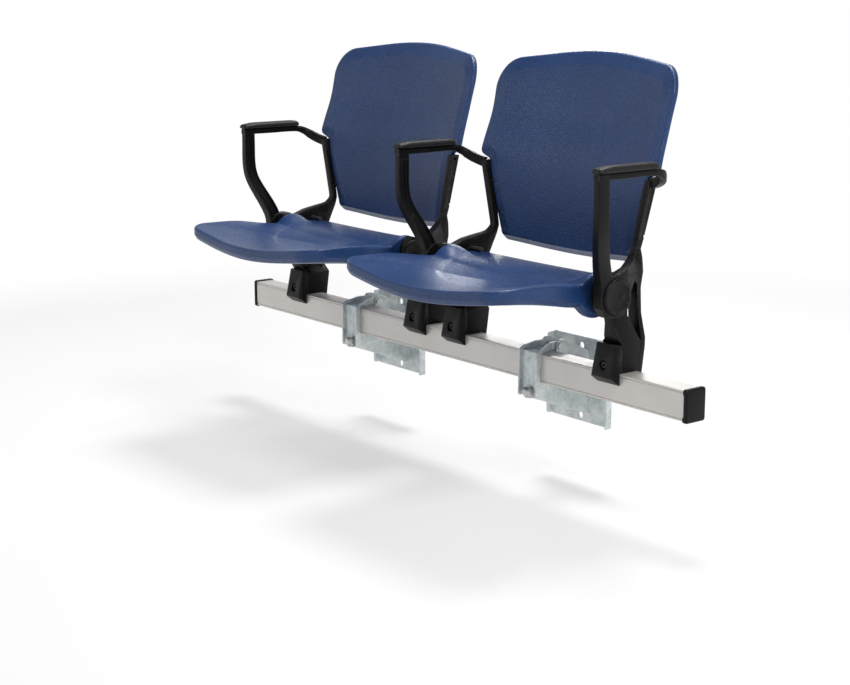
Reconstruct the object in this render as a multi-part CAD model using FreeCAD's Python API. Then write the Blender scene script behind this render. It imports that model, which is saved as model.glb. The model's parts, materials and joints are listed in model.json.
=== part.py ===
import FreeCAD, Part
import math
import os

# Wall-mounted pair of tip-up stadium seats on a clamped aluminium beam.
# Millimetres, +Z up, seats face -Y, +X runs along the beam.
# Shapes are drawn from the beam's top front edge: y = 0 is the beam's front face and
# z = 0 its top. place() then moves them so that the origin is the middle of the four
# wall bolts, on the wall. A seat's own shapes are drawn from the seat's middle, x = 0.

Vector = FreeCAD.Vector

# Overall arrangement
seat_pitch = 560.0
beam_left_end = -676.0
beam_right_end = 682.0
beam_height = 56.0
beam_depth = 44.0
beam_wall = 3.0
wall_distance = 134.0
bolt_rows = 140.0
bolt_top_z = -4.0
bracket_x = 290.0
seat_centres = {"left_seat": -seat_pitch / 2, "right_seat": seat_pitch / 2}

# Tip-up hinge of a seat
pivot_y = -26.0
pivot_z = 145.0
pin_radius = 8.0
running_clearance = 0.05
bush_radius = 12.0
pin_inner = 188.0
ear_inner = 186.0
ear_outer = 213.0
hub_radius = 38.0

# Standard: the moulded upright on each side of a seat, x measured outwards
foot_inner = 189.0
foot_outer = 246.0
hub_inner = 216.0
hub_outer = 236.0
arm_ring_outer = 258.0
cap_height = 5.0
upright_top_z = 342.0
upright_low_z = 214.0
upright_low_x = 191.0
upright_lean_z = 343.0
upright_lean_x = 221.0
upright_thickness = 13.0
upright_middle_y = 85.0
jaw_screw_z = 14.0
jaw_chamfer = 4.0
screw_head = 8.0
screw_shank = 5.0
small_shank = 3.0
back_screw_head = 5.0
back_screw_sink = 4.0
socket_radius = 4.4
stop_peg_y = 34.0
stop_peg_z = 169.6
stop_peg_radius = 5.0
stop_peg_outer = 224.0

# Armrest, x measured outwards from the seat's middle
arm_x = 280.0
arm_width = 14.0
post_depth = 25.0
post_y = -88.0
rail_top_z = 371.0
rail_depth = 13.0
rail_rear_y = 92.0
lug_low_z = 325.0
lug_high_z = 349.0
lug_screw_z = 334.0
lug_seat_x = 241.0
pad_length = 148.0
pad_width = 28.0
pad_height = 11.0
pad_front_y = -105.0
arm_screw_head = 4.5
arm_screw_length = 16.0

# Seat and back shells
seat_half_width = 232.0
seat_front_y = -291.0
seat_rear_y = 52.0
ear_radius = 44.0
dish_radius = 172.0
dish_rear_y = -45.0
dish_depth = 4.0
back_thickness = 19.0
back_bottom_z = 187.0
back_foot_z = 172.0
back_top_z = 567.0
back_half_width = 243.0
back_hollow = 30.0
border_width = 24.0
border_fall = 5.0

# Wall bracket
plate_half_width = 85.0
plate_thickness = 4.0
plate_top_z = 14.0
plate_bottom_z = -156.0
cheek_inner = 17.0
cheek_outer = 21.0
strap_half_width = 26.0
strap_pin_y = 54.0
strap_pin_z = 7.0
strap_pin_radius = 5.0
strap_bolt_z = -77.0
bolt_hole_radius = 6.5

clear = 0.3


def point_on(plane, offset, u, v):
    """A point of a flat outline: u and v are the plane's own two axes."""
    if plane == "yz":
        return Vector(offset, u, v)
    if plane == "xz":
        return Vector(u, offset, v)
    return Vector(u, v, offset)


def rounded_path(corners, closed):
    """Straight edges through the corners, each corner turned by its tangent arc."""
    count = len(corners)
    edges = []
    starts = []
    ends = []
    mids = []
    for i in range(count):
        point, radius = corners[i]
        inner = closed or 0 < i < count - 1
        if not inner or radius <= 0:
            starts.append(point)
            ends.append(point)
            mids.append(None)
            continue
        back = (corners[i - 1][0] - point).normalize()
        ahead = (corners[(i + 1) % count][0] - point).normalize()
        half_turn = back.getAngle(ahead) / 2
        reach = radius / math.tan(half_turn)
        starts.append(point + back * reach)
        ends.append(point + ahead * reach)
        middle = (back + ahead).normalize()
        mids.append(point + middle * (radius / math.sin(half_turn) - radius))
    for i in range(count):
        if mids[i] is not None:
            edges.append(Part.Arc(starts[i], mids[i], ends[i]).toShape())
        if i == count - 1 and not closed:
            break
        following = starts[(i + 1) % count]
        if (following - ends[i]).Length > 1e-6:
            edges.append(Part.LineSegment(ends[i], following).toShape())
    return Part.Wire(edges)


def outline(points, plane, offset):
    """Closed wire through (u, v) or (u, v, corner radius) points of a plane."""
    corners = []
    for point in points:
        radius = point[2] if len(point) > 2 else 0
        corners.append((point_on(plane, offset, point[0], point[1]), radius))
    return rounded_path(corners, True)


def slab(points, plane, start, end):
    """Solid between two offsets of a plane, with one outline all through."""
    face = Part.Face(outline(points, plane, start))
    return face.extrude(point_on(plane, end, 0, 0) - point_on(plane, start, 0, 0))


def box(x, y, z):
    """Block between two x, two y and two z values."""
    block = Part.makeBox(x[1] - x[0], y[1] - y[0], z[1] - z[0])
    return block.translated(Vector(x[0], y[0], z[0]))


def rod_x(radius, x_start, x_end, y, z):
    """Cylinder along X."""
    return Part.makeCylinder(radius, x_end - x_start, Vector(x_start, y, z), Vector(1, 0, 0))


def rod_y(radius, y_start, y_end, x, z):
    """Cylinder along Y."""
    return Part.makeCylinder(radius, y_end - y_start, Vector(x, y_start, z), Vector(0, 1, 0))


def rod_along(radius, point, direction, start, end):
    """Cylinder on any axis, between two distances from a point of that axis."""
    return Part.makeCylinder(radius, end - start, point + direction * start, direction)


def joined(shapes):
    """One solid of shapes that overlap."""
    return shapes[0].fuse(shapes[1:]).removeSplitter()


def mirrored(shape):
    """The same shape on the other side of x = 0."""
    return shape.mirror(Vector(0, 0, 0), Vector(1, 0, 0))


def rounded_rectangle(u, v, radius):
    """Points of a rectangle between two u and two v values, with equal corner radii."""
    return [
        (u[0], v[0], radius),
        (u[1], v[0], radius),
        (u[1], v[1], radius),
        (u[0], v[1], radius),
    ]


def make_beam():
    """Hollow aluminium extrusion with a groove along each edge of its front face."""
    groove = 1.2
    groove_depth = 1.4
    groove_inset = 4.0
    outer = slab(
        [
            (0, 0, 2.0),
            (0, -groove_inset, 0),
            (groove_depth, -groove_inset - groove / 2, 0),
            (0, -groove_inset - groove, 0),
            (0, groove_inset + groove - beam_height, 0),
            (groove_depth, groove_inset + groove / 2 - beam_height, 0),
            (0, groove_inset - beam_height, 0),
            (0, -beam_height, 2.0),
            (beam_depth, -beam_height, 2.0),
            (beam_depth, 0, 2.0),
        ],
        "yz",
        beam_left_end,
        beam_right_end,
    )
    bore = slab(
        [
            (beam_wall, -beam_wall, 1.5),
            (beam_wall, beam_wall - beam_height, 1.5),
            (beam_depth - beam_wall, beam_wall - beam_height, 1.5),
            (beam_depth - beam_wall, -beam_wall, 1.5),
        ],
        "yz",
        beam_left_end - 1,
        beam_right_end + 1,
    )
    return outer.cut(bore)


def make_end_cap(end, outward):
    """Plug of a beam end: a chamfered face, and a rim cut back between its corners."""
    face_depth = 10.0
    overhang = 2.5
    rim_chamfer = 2.5
    plug_depth = 14.0
    plug_wall = 3.0
    notch_depth = 3.0
    corner = 8.0
    fit = beam_wall + clear / 2
    around_y = (-overhang, beam_depth + overhang)
    around_z = (-beam_height - overhang, overhang)
    cap = slab(rounded_rectangle(around_y, around_z, 5), "yz", 0, face_depth)
    rim = [edge for edge in cap.Edges if abs(edge.BoundBox.XMin - face_depth) < 0.01]
    cap = cap.makeChamfer(rim_chamfer, rim)
    notch_z = (corner - beam_height, -corner)
    for notch_y in ((around_y[0] - 1, 0), (beam_depth, around_y[1] + 1)):
        cap = cap.cut(box((-1, notch_depth), notch_y, notch_z))
    inside_y = (fit, beam_depth - fit)
    inside_z = (fit - beam_height, -fit)
    plug = slab(rounded_rectangle(inside_y, inside_z, 2), "yz", -plug_depth, 1)
    core_y = (fit + plug_wall, beam_depth - fit - plug_wall)
    core_z = (fit + plug_wall - beam_height, -fit - plug_wall)
    core = slab(rounded_rectangle(core_y, core_z, 1), "yz", -plug_depth - 1, -2)
    cap = joined([cap, plug.cut(core)])
    if outward < 0:
        cap = mirrored(cap)
    return cap.translated(Vector(end, 0, 0))


def make_wall_plate():
    """Pressed steel plate against the wall, with its two side edges folded forwards."""
    flange = 13.0
    front = wall_distance - plate_thickness
    inner_half = plate_half_width - plate_thickness
    channel = [
        (-plate_half_width, wall_distance, 5),
        (-plate_half_width, front - flange, 0),
        (-inner_half, front - flange, 0),
        (-inner_half, front, 1.5),
        (inner_half, front, 1.5),
        (inner_half, front - flange, 0),
        (plate_half_width, front - flange, 0),
        (plate_half_width, wall_distance, 5),
    ]
    plate = slab(channel, "xy", plate_bottom_z, plate_top_z)
    front_view = [
        (-plate_half_width, plate_bottom_z, 9),
        (plate_half_width, plate_bottom_z, 3),
        (plate_half_width, plate_top_z, 6),
        (-plate_half_width, plate_top_z, 12),
    ]
    plate = plate.common(slab(front_view, "xz", front - flange - 1, wall_distance + 1))
    for hole_z in (bolt_top_z, bolt_top_z - bolt_rows):
        plate = plate.cut(rod_y(bolt_hole_radius, front - 1, wall_distance + 1, 0, hole_z))
    return plate


def make_bracket_arm():
    """Two steel cheeks from the wall plate out to the beam, which sits in their notch."""
    rest = clear / 2
    front_web = 4.0
    wall_face = wall_distance - plate_thickness
    cheek = [
        (0, -90, 4),
        (0, -beam_height - rest, 1),
        (beam_depth + rest, -beam_height - rest, 2),
        (beam_depth + rest, 14, 5),
        (strap_pin_y - 6, 21, 8),
        (strap_pin_y + 9, 21, 10),
        (wall_face, -12, 0),
        (wall_face, -138, 0),
    ]
    sides = slab(cheek, "yz", cheek_inner, cheek_outer)
    between = (-cheek_inner - 1, cheek_inner + 1)
    tab = box(between, (0, front_web), (-86, -beam_height - 5))
    under_beam = -beam_height - rest
    saddle = box(between, (6, beam_depth - 4), (under_beam - 4, under_beam))
    arm = joined([sides, mirrored(sides), tab, saddle])
    arm = arm.cut(rod_x(strap_pin_radius, -cheek_outer - 1, cheek_outer + 1, strap_pin_y, strap_pin_z))
    return arm.cut(rod_y(5.0, -2, front_web, 0, strap_bolt_z))


def make_clamp_strap():
    """Hinged steel strap over the beam: a channel whose raised edges stand outwards."""
    web = 4.0
    edge = 3.5
    lip = 12.0
    foot = -87.0
    half = strap_half_width
    rear_half = cheek_inner - clear
    rear = strap_pin_y + 9
    side = [
        (-0.2, foot, 0),
        (-lip, foot, 4),
        (-lip, 2, 6),
        (-2, 9, 14),
        (28, 17, 40),
        (rear, 17, 8),
        (rear, strap_pin_z - 9, 8),
        (strap_pin_y - 7, strap_pin_z - 7, 3),
        (strap_pin_y - 8, 0.2, 0),
        (-0.2, 0.2, 0),
    ]
    plan = [
        (-half, -lip - 1),
        (half, -lip - 1),
        (half, 2, 6),
        (rear_half, 36, 8),
        (rear_half, rear + 1),
        (-rear_half, rear + 1),
        (-rear_half, 36, 8),
        (-half, 2, 6),
    ]
    blank = slab(side, "yz", -half, half).common(slab(plan, "xy", -100, 40))
    inner_side = [
        (-web, -100),
        (-lip - 5, -100),
        (-lip - 5, lip + 14),
        (rear + 5, lip + 14),
        (rear + 5, -15),
        (strap_pin_y - 12, -15),
        (strap_pin_y - 12, web),
        (-web, web, 5),
    ]
    inner_plan = [
        (-half + edge, -lip - 5),
        (half - edge, -lip - 5),
        (half - edge, 1, 6),
        (rear_half - edge, 34, 8),
        (rear_half - edge, rear + 5),
        (edge - rear_half, rear + 5),
        (edge - rear_half, 34, 8),
        (edge - half, 1, 6),
    ]
    hollow = slab(inner_side, "yz", -half, half).common(slab(inner_plan, "xy", -101, 41))
    slot = slab([(-8, -100), (8, -100), (8, -66, 7.9), (-8, -66, 7.9)], "xz", -lip, 1)
    strap = blank.cut(hollow).cut(slot)
    hole = rod_x(strap_pin_radius + running_clearance, -half, half, strap_pin_y, strap_pin_z)
    return strap.cut(hole)


def make_strap_pin():
    """Riveted hinge pin of a clamp strap."""
    head_radius = 7.5
    head = 2.5
    outer = cheek_outer + 0.1
    return joined(
        [
            rod_x(strap_pin_radius, -outer - head, outer + head, strap_pin_y, strap_pin_z),
            rod_x(head_radius, outer, outer + head, strap_pin_y, strap_pin_z),
            rod_x(head_radius, -outer - head, -outer, strap_pin_y, strap_pin_z),
        ]
    )


def make_strap_bolt():
    """Bolt that closes the strap's slot: a domed head, a washer and a shank into the tab."""
    head_face = -18.0
    washer_face = -5.6
    head = rod_y(11, head_face, washer_face, 0, strap_bolt_z)
    crown = [edge for edge in head.Edges if abs(edge.BoundBox.YMax - head_face) < 0.01]
    head = head.makeChamfer(4.5, crown)
    washer = rod_y(13, washer_face, -4.1, 0, strap_bolt_z)
    shank = rod_y(5.0, washer_face - 1, 16, 0, strap_bolt_z)
    return joined([head, washer, shank])


def standard_envelope():
    """Front sections of a standard, ruled from the column in front to the leaning upright."""
    far = 20.0
    column = [
        (foot_inner, -far),
        (foot_inner, 48),
        (205, 60),
        (hub_inner, 92),
        (hub_inner, 176),
        (hub_inner, upright_low_z),
        (hub_inner, upright_lean_z),
        (hub_outer, upright_lean_z),
        (hub_outer, upright_low_z),
        (hub_outer, 176),
        (hub_outer, 104),
        (foot_outer, 60),
        (foot_outer, -far),
    ]
    upright = [
        (foot_inner, -far),
        (foot_inner, 48),
        (205, 60),
        (208, 92),
        (198, 176),
        (upright_low_x, upright_low_z),
        (upright_lean_x, upright_lean_z),
        (upright_lean_x + upright_thickness, upright_lean_z),
        (upright_low_x + upright_thickness, upright_low_z),
        (221, 176),
        (234, 104),
        (foot_outer, 60),
        (foot_outer, -far),
    ]
    sections = []
    for y, points in ((-80, column), (24, column), (66, upright), (120, upright)):
        corners = [Vector(x, y, z) for x, z in points]
        sections.append(Part.makePolygon(corners + [corners[0]]))
    return Part.makeLoft(sections, True, True)


def make_standard():
    """Moulded standard of a right-hand side: foot, column, hub, strut and leaning upright.

    Its side view is one outline with a window, and standard_envelope() gives its width.
    """
    foot_gap = clear / 2
    side_view = [
        (4, foot_gap),
        (beam_depth + foot_gap, foot_gap),
        (beam_depth + foot_gap, -13, 1),
        (54, -13, 2),
        (62, 45, 40),
        (62, 105, 60),
        (68, 150, 40),
        (88, 196, 40),
        (95, upright_top_z, 2),
        (75, upright_top_z, 2),
        (76, 205, 24),
        (-10, 176, 6),
        (-56, 140, 10),
        (-16, 108, 16),
        (-4, 66, 12),
        (4, 53, 0),
    ]
    window = [
        (52, 50, 1.5),
        (54, 110, 60),
        (57, 157, 4),
        (49, 164, 3),
        (27, 134, 14),
        (25, 104, 14),
    ]
    body = slab(side_view, "yz", 170, 262).cut(slab(window, "yz", 150, 280))
    body = body.common(standard_envelope())
    hub = rod_x(hub_radius, hub_inner, hub_outer, pivot_y, pivot_z)
    standard = joined([body, hub])
    middle = (foot_inner + foot_outer) / 2
    standard = standard.cut(rod_x(pin_radius, 150, 280, pivot_y, pivot_z))
    standard = standard.cut(rod_x(stop_peg_radius, 150, stop_peg_outer, stop_peg_y, stop_peg_z))
    standard = standard.cut(rod_y(screw_shank, 0, 32, middle, jaw_screw_z))
    for point, normal in back_screw_axes():
        standard = standard.cut(rod_along(small_shank, point, normal, -20, 6))
        standard = standard.cut(rod_along(back_screw_head + 0.4, point, normal, -back_screw_sink, 6))
    return standard.cut(arm_screw_hole())


def make_clamp_jaw():
    """Wedge in front of the foot: slanting face, undercut chin and a recess for its screw."""
    top_z = 52.5
    seam_y = 4 - clear / 2
    beam_y = -clear / 2
    side_view = [
        (beam_y, -22, 0),
        (-20, -7, 0),
        (-7, top_z, 0),
        (seam_y, top_z, 0),
        (seam_y, clear / 2, 0),
        (beam_y, clear / 2, 0),
    ]
    jaw = slab(side_view, "yz", foot_inner, foot_outer)
    upright_edges = []
    for edge in jaw.Edges:
        size = edge.BoundBox
        if size.XLength < 0.01 and size.ZLength > 45 and size.YLength > 5:
            upright_edges.append(edge)
    jaw = jaw.makeChamfer(jaw_chamfer, upright_edges)
    middle = (foot_inner + foot_outer) / 2
    jaw = jaw.cut(rod_y(screw_head + 1.5, -40, -8, middle, jaw_screw_z))
    return jaw.cut(rod_y(screw_shank + 0.2, -20, 10, middle, jaw_screw_z))


def make_jaw_screw():
    """Socket-head screw of a clamp jaw, reaching back into the foot."""
    middle = (foot_inner + foot_outer) / 2
    head_face = -15.0
    head = rod_y(screw_head, head_face, -8.1, middle, jaw_screw_z)
    shank = rod_y(screw_shank, -9, 30, middle, jaw_screw_z)
    corners = []
    for k in range(7):
        turn = math.radians(60 * k)
        x = middle + socket_radius * math.cos(turn)
        z = jaw_screw_z + socket_radius * math.sin(turn)
        corners.append(Vector(x, head_face - 1, z))
    socket = Part.Face(Part.makePolygon(corners)).extrude(Vector(0, 5, 0))
    return joined([head, shank]).cut(socket)


def upright_outer_x(z):
    """Outer face of the leaning upright at a height."""
    share = (z - upright_low_z) / (upright_lean_z - upright_low_z)
    return upright_low_x + upright_thickness + share * (upright_lean_x - upright_low_x)


def make_post():
    """Front post of an arm: a channel open to the seat, swept up and out from the hub ring."""
    half = arm_width / 2
    ring_middle = (hub_outer + arm_ring_outer) / 2
    path = [
        (Vector(ring_middle, -34, 156), 0),
        (Vector(ring_middle, -47, 180), 30),
        (Vector(arm_x, post_y, 262), 45),
        (Vector(arm_x, post_y, rail_top_z - 5), 0),
    ]
    spine = rounded_path(path, False)
    start = path[0][0]
    tangent = (path[1][0] - start).normalize()
    across = Vector(1, 0, 0)
    outwards = tangent.cross(across)
    depth = post_depth / 2
    rib = 3.0
    groove = 5.5
    section = [
        (half, -depth + 4),
        (half, depth - 4),
        (half - 4, depth),
        (-half, depth),
        (-half, depth - rib),
        (groove - half, depth - rib - 1),
        (groove - half, rib + 1 - depth),
        (-half, rib - depth),
        (-half, -depth),
        (half - 4, -depth),
    ]
    points = [start + across * u + outwards * v for u, v in section]
    profile = Part.makePolygon(points + [points[0]])
    sweep = Part.BRepOffsetAPI.MakePipeShell(spine)
    sweep.setBiNormalMode(across)
    sweep.add(profile)
    sweep.build()
    sweep.makeSolid()
    return sweep.shape()


def make_rail():
    """Top of an arm: level over the seat's side, then down and inwards to the upright."""
    half = arm_width / 2
    inner = arm_x - half
    outer = arm_x + half
    low = rail_top_z - rail_depth
    front = post_y - post_depth / 2
    back = post_y + post_depth / 2
    side_view = [
        (front, low - 14, 0),
        (back, low - 14, 0),
        (back, low, 8),
        (46, low, 24),
        (76, lug_high_z - 3, 6),
        (rail_rear_y, lug_high_z - 3, 0),
        (rail_rear_y, lug_high_z + 7, 8),
        (54, rail_top_z, 24),
        (front - 6, rail_top_z, 2),
        (front - 6, rail_top_z - 4, 2),
        (front, rail_top_z - 8, 3),
    ]
    rail = slab(side_view, "yz", inner, outer)
    gap = clear / 2
    lug_front = [
        (upright_outer_x(lug_low_z) + gap, lug_low_z, 0),
        (upright_outer_x(lug_high_z) + gap, lug_high_z, 0),
        (250, lug_high_z + 2, 20),
        (outer, lug_high_z + 13, 0),
        (outer, lug_high_z - 3, 0),
        (244, lug_screw_z + 6, 6),
        (lug_seat_x + 1, lug_low_z, 3),
    ]
    lug = slab(lug_front, "xz", upright_middle_y - 8, rail_rear_y)
    plan = [
        (200, upright_middle_y - 8, 0),
        (inner, upright_middle_y - 8, 5),
        (inner, front - 10, 0),
        (outer, front - 10, 0),
        (outer, rail_rear_y, 12),
        (200, rail_rear_y, 0),
    ]
    return joined([rail, lug]).common(slab(plan, "xy", 300, 400))


def make_arm():
    """Armrest of a right-hand side: hub ring, front post and rail in one moulding."""
    ring = rod_x(hub_radius, hub_outer + clear / 2, arm_ring_outer, pivot_y, pivot_z)
    arm = joined([make_post(), make_rail(), ring])
    arm = arm.cut(rod_x(pin_radius, 200, 300, pivot_y, pivot_z))
    recess = rod_x(arm_screw_head + 0.4, lug_seat_x, 300, upright_middle_y, lug_screw_z)
    return arm.cut(recess).cut(arm_screw_hole())


def arm_screw_hole():
    """Hole through the lug of an arm into the outer face of its upright."""
    inner = lug_seat_x - arm_screw_length
    return rod_x(small_shank, inner, lug_seat_x + 1, upright_middle_y, lug_screw_z)


def make_arm_screw():
    """Screw through the arm's lug into the upright."""
    head = rod_x(arm_screw_head, lug_seat_x, lug_seat_x + 3.5, upright_middle_y, lug_screw_z)
    return joined([arm_screw_hole(), head])


def make_arm_pad():
    """Crowned plastic pad on top of the arm's rail."""
    rear = pad_front_y + pad_length
    foot = rail_top_z + clear
    side_view = [
        (pad_front_y, foot, 1),
        (pad_front_y, foot + pad_height - 1, 6),
        (pad_front_y + pad_length / 2, foot + pad_height + 1, 600),
        (rear, foot + pad_height - 2, 4),
        (rear, foot, 1),
    ]
    half = pad_width / 2
    plan = rounded_rectangle((arm_x - half, arm_x + half), (pad_front_y - 1, rear + 1), 9)
    pad = slab(side_view, "yz", arm_x - half, arm_x + half)
    return pad.common(slab(plan, "xy", foot - 1, foot + 40))


def make_hub_cap(inner_face):
    """Round cover of a hub, with a chamfered rim and a small off-centre pip."""
    cap = rod_x(hub_radius - 2, inner_face, inner_face + cap_height, pivot_y, pivot_z)
    rim = [edge for edge in cap.Edges if abs(edge.BoundBox.XMin - inner_face - cap_height) < 0.01]
    cap = cap.makeChamfer(2.4, rim)
    dish = rod_x(hub_radius - 8, inner_face + cap_height - 1, inner_face + cap_height + 1, pivot_y, pivot_z)
    pip = rod_x(4, inner_face + cap_height - 2, inner_face + cap_height - 0.2, pivot_y + 11, pivot_z + 2)
    return joined([cap.cut(dish), pip])


def make_pivot_pin(outer_end):
    """Steel pin from inside the seat's ear, through the hub."""
    return rod_x(pin_radius, pin_inner, outer_end, pivot_y, pivot_z)


def make_pivot_bush():
    """Flanged bush of the seat's ear, which turns on the pin."""
    sleeve = rod_x(bush_radius, ear_inner, ear_outer + 0.2, pivot_y, pivot_z)
    flange = rod_x(bush_radius + 5, ear_outer + 0.1, hub_inner - clear, pivot_y, pivot_z)
    bore = rod_x(pin_radius + running_clearance, ear_inner - 1, hub_inner, pivot_y, pivot_z)
    return joined([sleeve, flange]).cut(bore)


def make_stop_peg():
    """Sleeved peg of a standard, on which the rear of the seat comes to rest."""
    return rod_x(stop_peg_radius, 180, stop_peg_outer, stop_peg_y, stop_peg_z)


def seat_section(y, side_top, middle_top, side_depth, middle_depth):
    """Closed cross-section of the seat: dished top and rounded underside."""
    half = seat_half_width + 12
    top = Part.BSplineCurve()
    top.interpolate(
        [
            Vector(-half, y, side_top + 1),
            Vector(-0.72 * half, y, side_top - 0.38 * (side_top - middle_top)),
            Vector(-0.36 * half, y, middle_top + 0.16 * (side_top - middle_top)),
            Vector(0, y, middle_top),
            Vector(0.36 * half, y, middle_top + 0.16 * (side_top - middle_top)),
            Vector(0.72 * half, y, side_top - 0.38 * (side_top - middle_top)),
            Vector(half, y, side_top + 1),
        ]
    )
    side_low = side_top - side_depth
    middle_low = middle_top - middle_depth
    bottom = Part.BSplineCurve()
    bottom.interpolate(
        [
            Vector(half, y, side_low),
            Vector(0.6 * half, y, side_low - 0.55 * (side_low - middle_low)),
            Vector(0, y, middle_low),
            Vector(-0.6 * half, y, side_low - 0.55 * (side_low - middle_low)),
            Vector(-half, y, side_low),
        ]
    )
    right = Part.LineSegment(Vector(half, y, side_top + 1), Vector(half, y, side_low))
    left = Part.LineSegment(Vector(-half, y, side_low), Vector(-half, y, side_top + 1))
    return Part.Wire([top.toShape(), right.toShape(), bottom.toShape(), left.toShape()])


def seat_plan():
    """Plan of the seat: level sides at the hubs, then wide square front corners."""
    right = [
        (198, seat_rear_y, 14),
        (ear_outer, 20, 12),
        (ear_outer, -66, 60),
        (231, -150, 120),
        (seat_half_width, -280, 50),
    ]
    left = [(-x, y, radius) for x, y, radius in reversed(right)]
    return right + [(0, seat_front_y - 1, 900)] + left


def make_seat_shell():
    """Double-walled seat: square front corners, a round dish, and an ear at each hub."""
    sections = [
        seat_section(64, 165, 164, 30, 18),
        seat_section(20, 164, 160, 34, 24),
        seat_section(-60, 165, 154, 36, 28),
        seat_section(-150, 179, 147, 32, 27),
        seat_section(-225, 183, 151, 27, 26),
        seat_section(-300, 184, 158, 25, 24),
    ]
    solid = Part.makeLoft(sections, True, False)
    body = solid.common(slab(seat_plan(), "xy", 60, 260))
    dish_edge = [(-dish_radius - 20, dish_rear_y), (dish_radius + 20, dish_rear_y)]
    dish_edge += [(dish_radius + 20, -dish_radius - 20), (-dish_radius - 20, -dish_radius - 20)]
    dish = Part.makeCylinder(dish_radius, 200, Vector(0, 0, 60))
    dish = dish.common(slab(dish_edge, "xy", 60, 260))
    body = body.cut(dish.cut(solid.translated(Vector(0, 0, -dish_depth))))
    ear = rod_x(ear_radius, ear_inner, ear_outer, pivot_y, pivot_z)
    web_side = [
        (-96, 150, 10),
        (-76, 172, 20),
        (0, 172, 20),
        (24, 164, 12),
        (24, 142, 12),
        (0, 118, 20),
        (-56, 118, 20),
        (-84, 134, 16),
    ]
    web = slab(web_side, "yz", ear_inner, ear_outer)
    shell = joined([body, ear, mirrored(ear), web, mirrored(web)])
    hinge_bore = rod_x(bush_radius, ear_inner - 3, ear_outer + 1, pivot_y, pivot_z)
    return shell.cut(hinge_bore).cut(mirrored(hinge_bore))


def back_section(x, front_shift, rear_shift, low_z):
    """Closed side section of the back: upright below, reclined above, bevelled at its foot."""
    hollow = back_hollow * (1 - (x / 240.0) ** 2)
    profile = ((72, low_z), (69.5, 280), (74, 361), (98, 427), (115.5, 494), (146, 590))
    front = [Vector(x, y + hollow + front_shift, z) for y, z in profile]
    rear = [point + Vector(0, rear_shift - front_shift, 0) for point in front]
    rear[0].z = low_z - rear_shift + front_shift
    front_curve = Part.BSplineCurve()
    front_curve.interpolate(front)
    rear_curve = Part.BSplineCurve()
    rear_curve.interpolate(list(reversed(rear)))
    high = Part.LineSegment(front[-1], rear[-1])
    low = Part.LineSegment(rear[0], front[0])
    return Part.Wire([front_curve.toShape(), high.toShape(), rear_curve.toShape(), low.toShape()])


def back_body(front_shift, rear_shift, foot):
    """Solid between two depths of the back's curved front, its foot lower in the middle."""
    stations = (-250, -125, 0, 125, 250)
    sections = []
    for x in stations:
        low_z = foot + 14 * (x / 186.0) ** 2
        sections.append(back_section(x, front_shift, rear_shift, low_z))
    return Part.makeLoft(sections, True, False)


def back_outline(inset, foot):
    """Front outline of the back: narrow between the uprights, crowned above the shoulders."""
    half = back_half_width - inset
    right = [
        (120 - inset, foot, 0),
        (185.5 - inset, foot + 20, 14),
        (219 - inset, upright_top_z + 1, 8),
        (245 - inset, upright_top_z + 13, 14),
        (half - 4, 440, 400),
        (half, 500, 98),
        (226 - inset, 543 - 0.7 * inset, 37 - inset),
    ]
    left = [(-x, z, radius) for x, z, radius in reversed(right)]
    return right + [(0, back_top_z - inset, 900)] + left


def make_back_shell():
    """Double-walled back: a raised middle panel and a border that falls away to the rim."""
    rim = back_body(border_fall, back_thickness, back_bottom_z)
    rim = rim.common(slab(back_outline(0, back_foot_z), "xz", 0, 260))
    shell = rim
    steps = 3
    for k in range(1, steps + 1):
        inset = border_width * k / (steps + 1)
        fall = border_fall * (1 - k / steps)
        layer = back_body(fall, back_thickness - 1, back_bottom_z)
        shell = shell.fuse(layer.common(slab(back_outline(inset, back_foot_z), "xz", 0, 260)))
    for point, direction in back_screw_axes():
        hole = rod_along(small_shank, point, direction, -24, 0)
        shell = shell.cut(hole).cut(mirrored(hole))
    return shell


def back_screw_axes():
    """Points on an upright's outer face and the face's normal, one for each back screw."""
    low = Vector(upright_outer_x(upright_low_z), upright_middle_y, upright_low_z)
    high = Vector(upright_outer_x(upright_lean_z), upright_middle_y, upright_lean_z)
    along = (high - low).normalize()
    normal = Vector(along.z, 0, -along.x)
    return [(low + along * 24, normal), (low + along * 84, normal)]


def make_back_screws():
    """Pan-head screws through one upright into the edge of the back."""
    screws = []
    for point, normal in back_screw_axes():
        head = rod_along(back_screw_head, point, normal, -back_screw_sink, -0.8)
        shank = rod_along(small_shank, point, normal, -22, -2)
        screws.append(joined([head, shank]))
    return screws


def place(shape, x=0.0):
    """Move a shape from the beam's edge to the part's own frame."""
    lift = bolt_rows / 2 - bolt_top_z
    return shape.translated(Vector(x, -wall_distance, lift))


def on_side(shape, side):
    """A right-hand piece as it is, or its mirror image for the left."""
    return shape if side == "right" else mirrored(shape)


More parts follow.
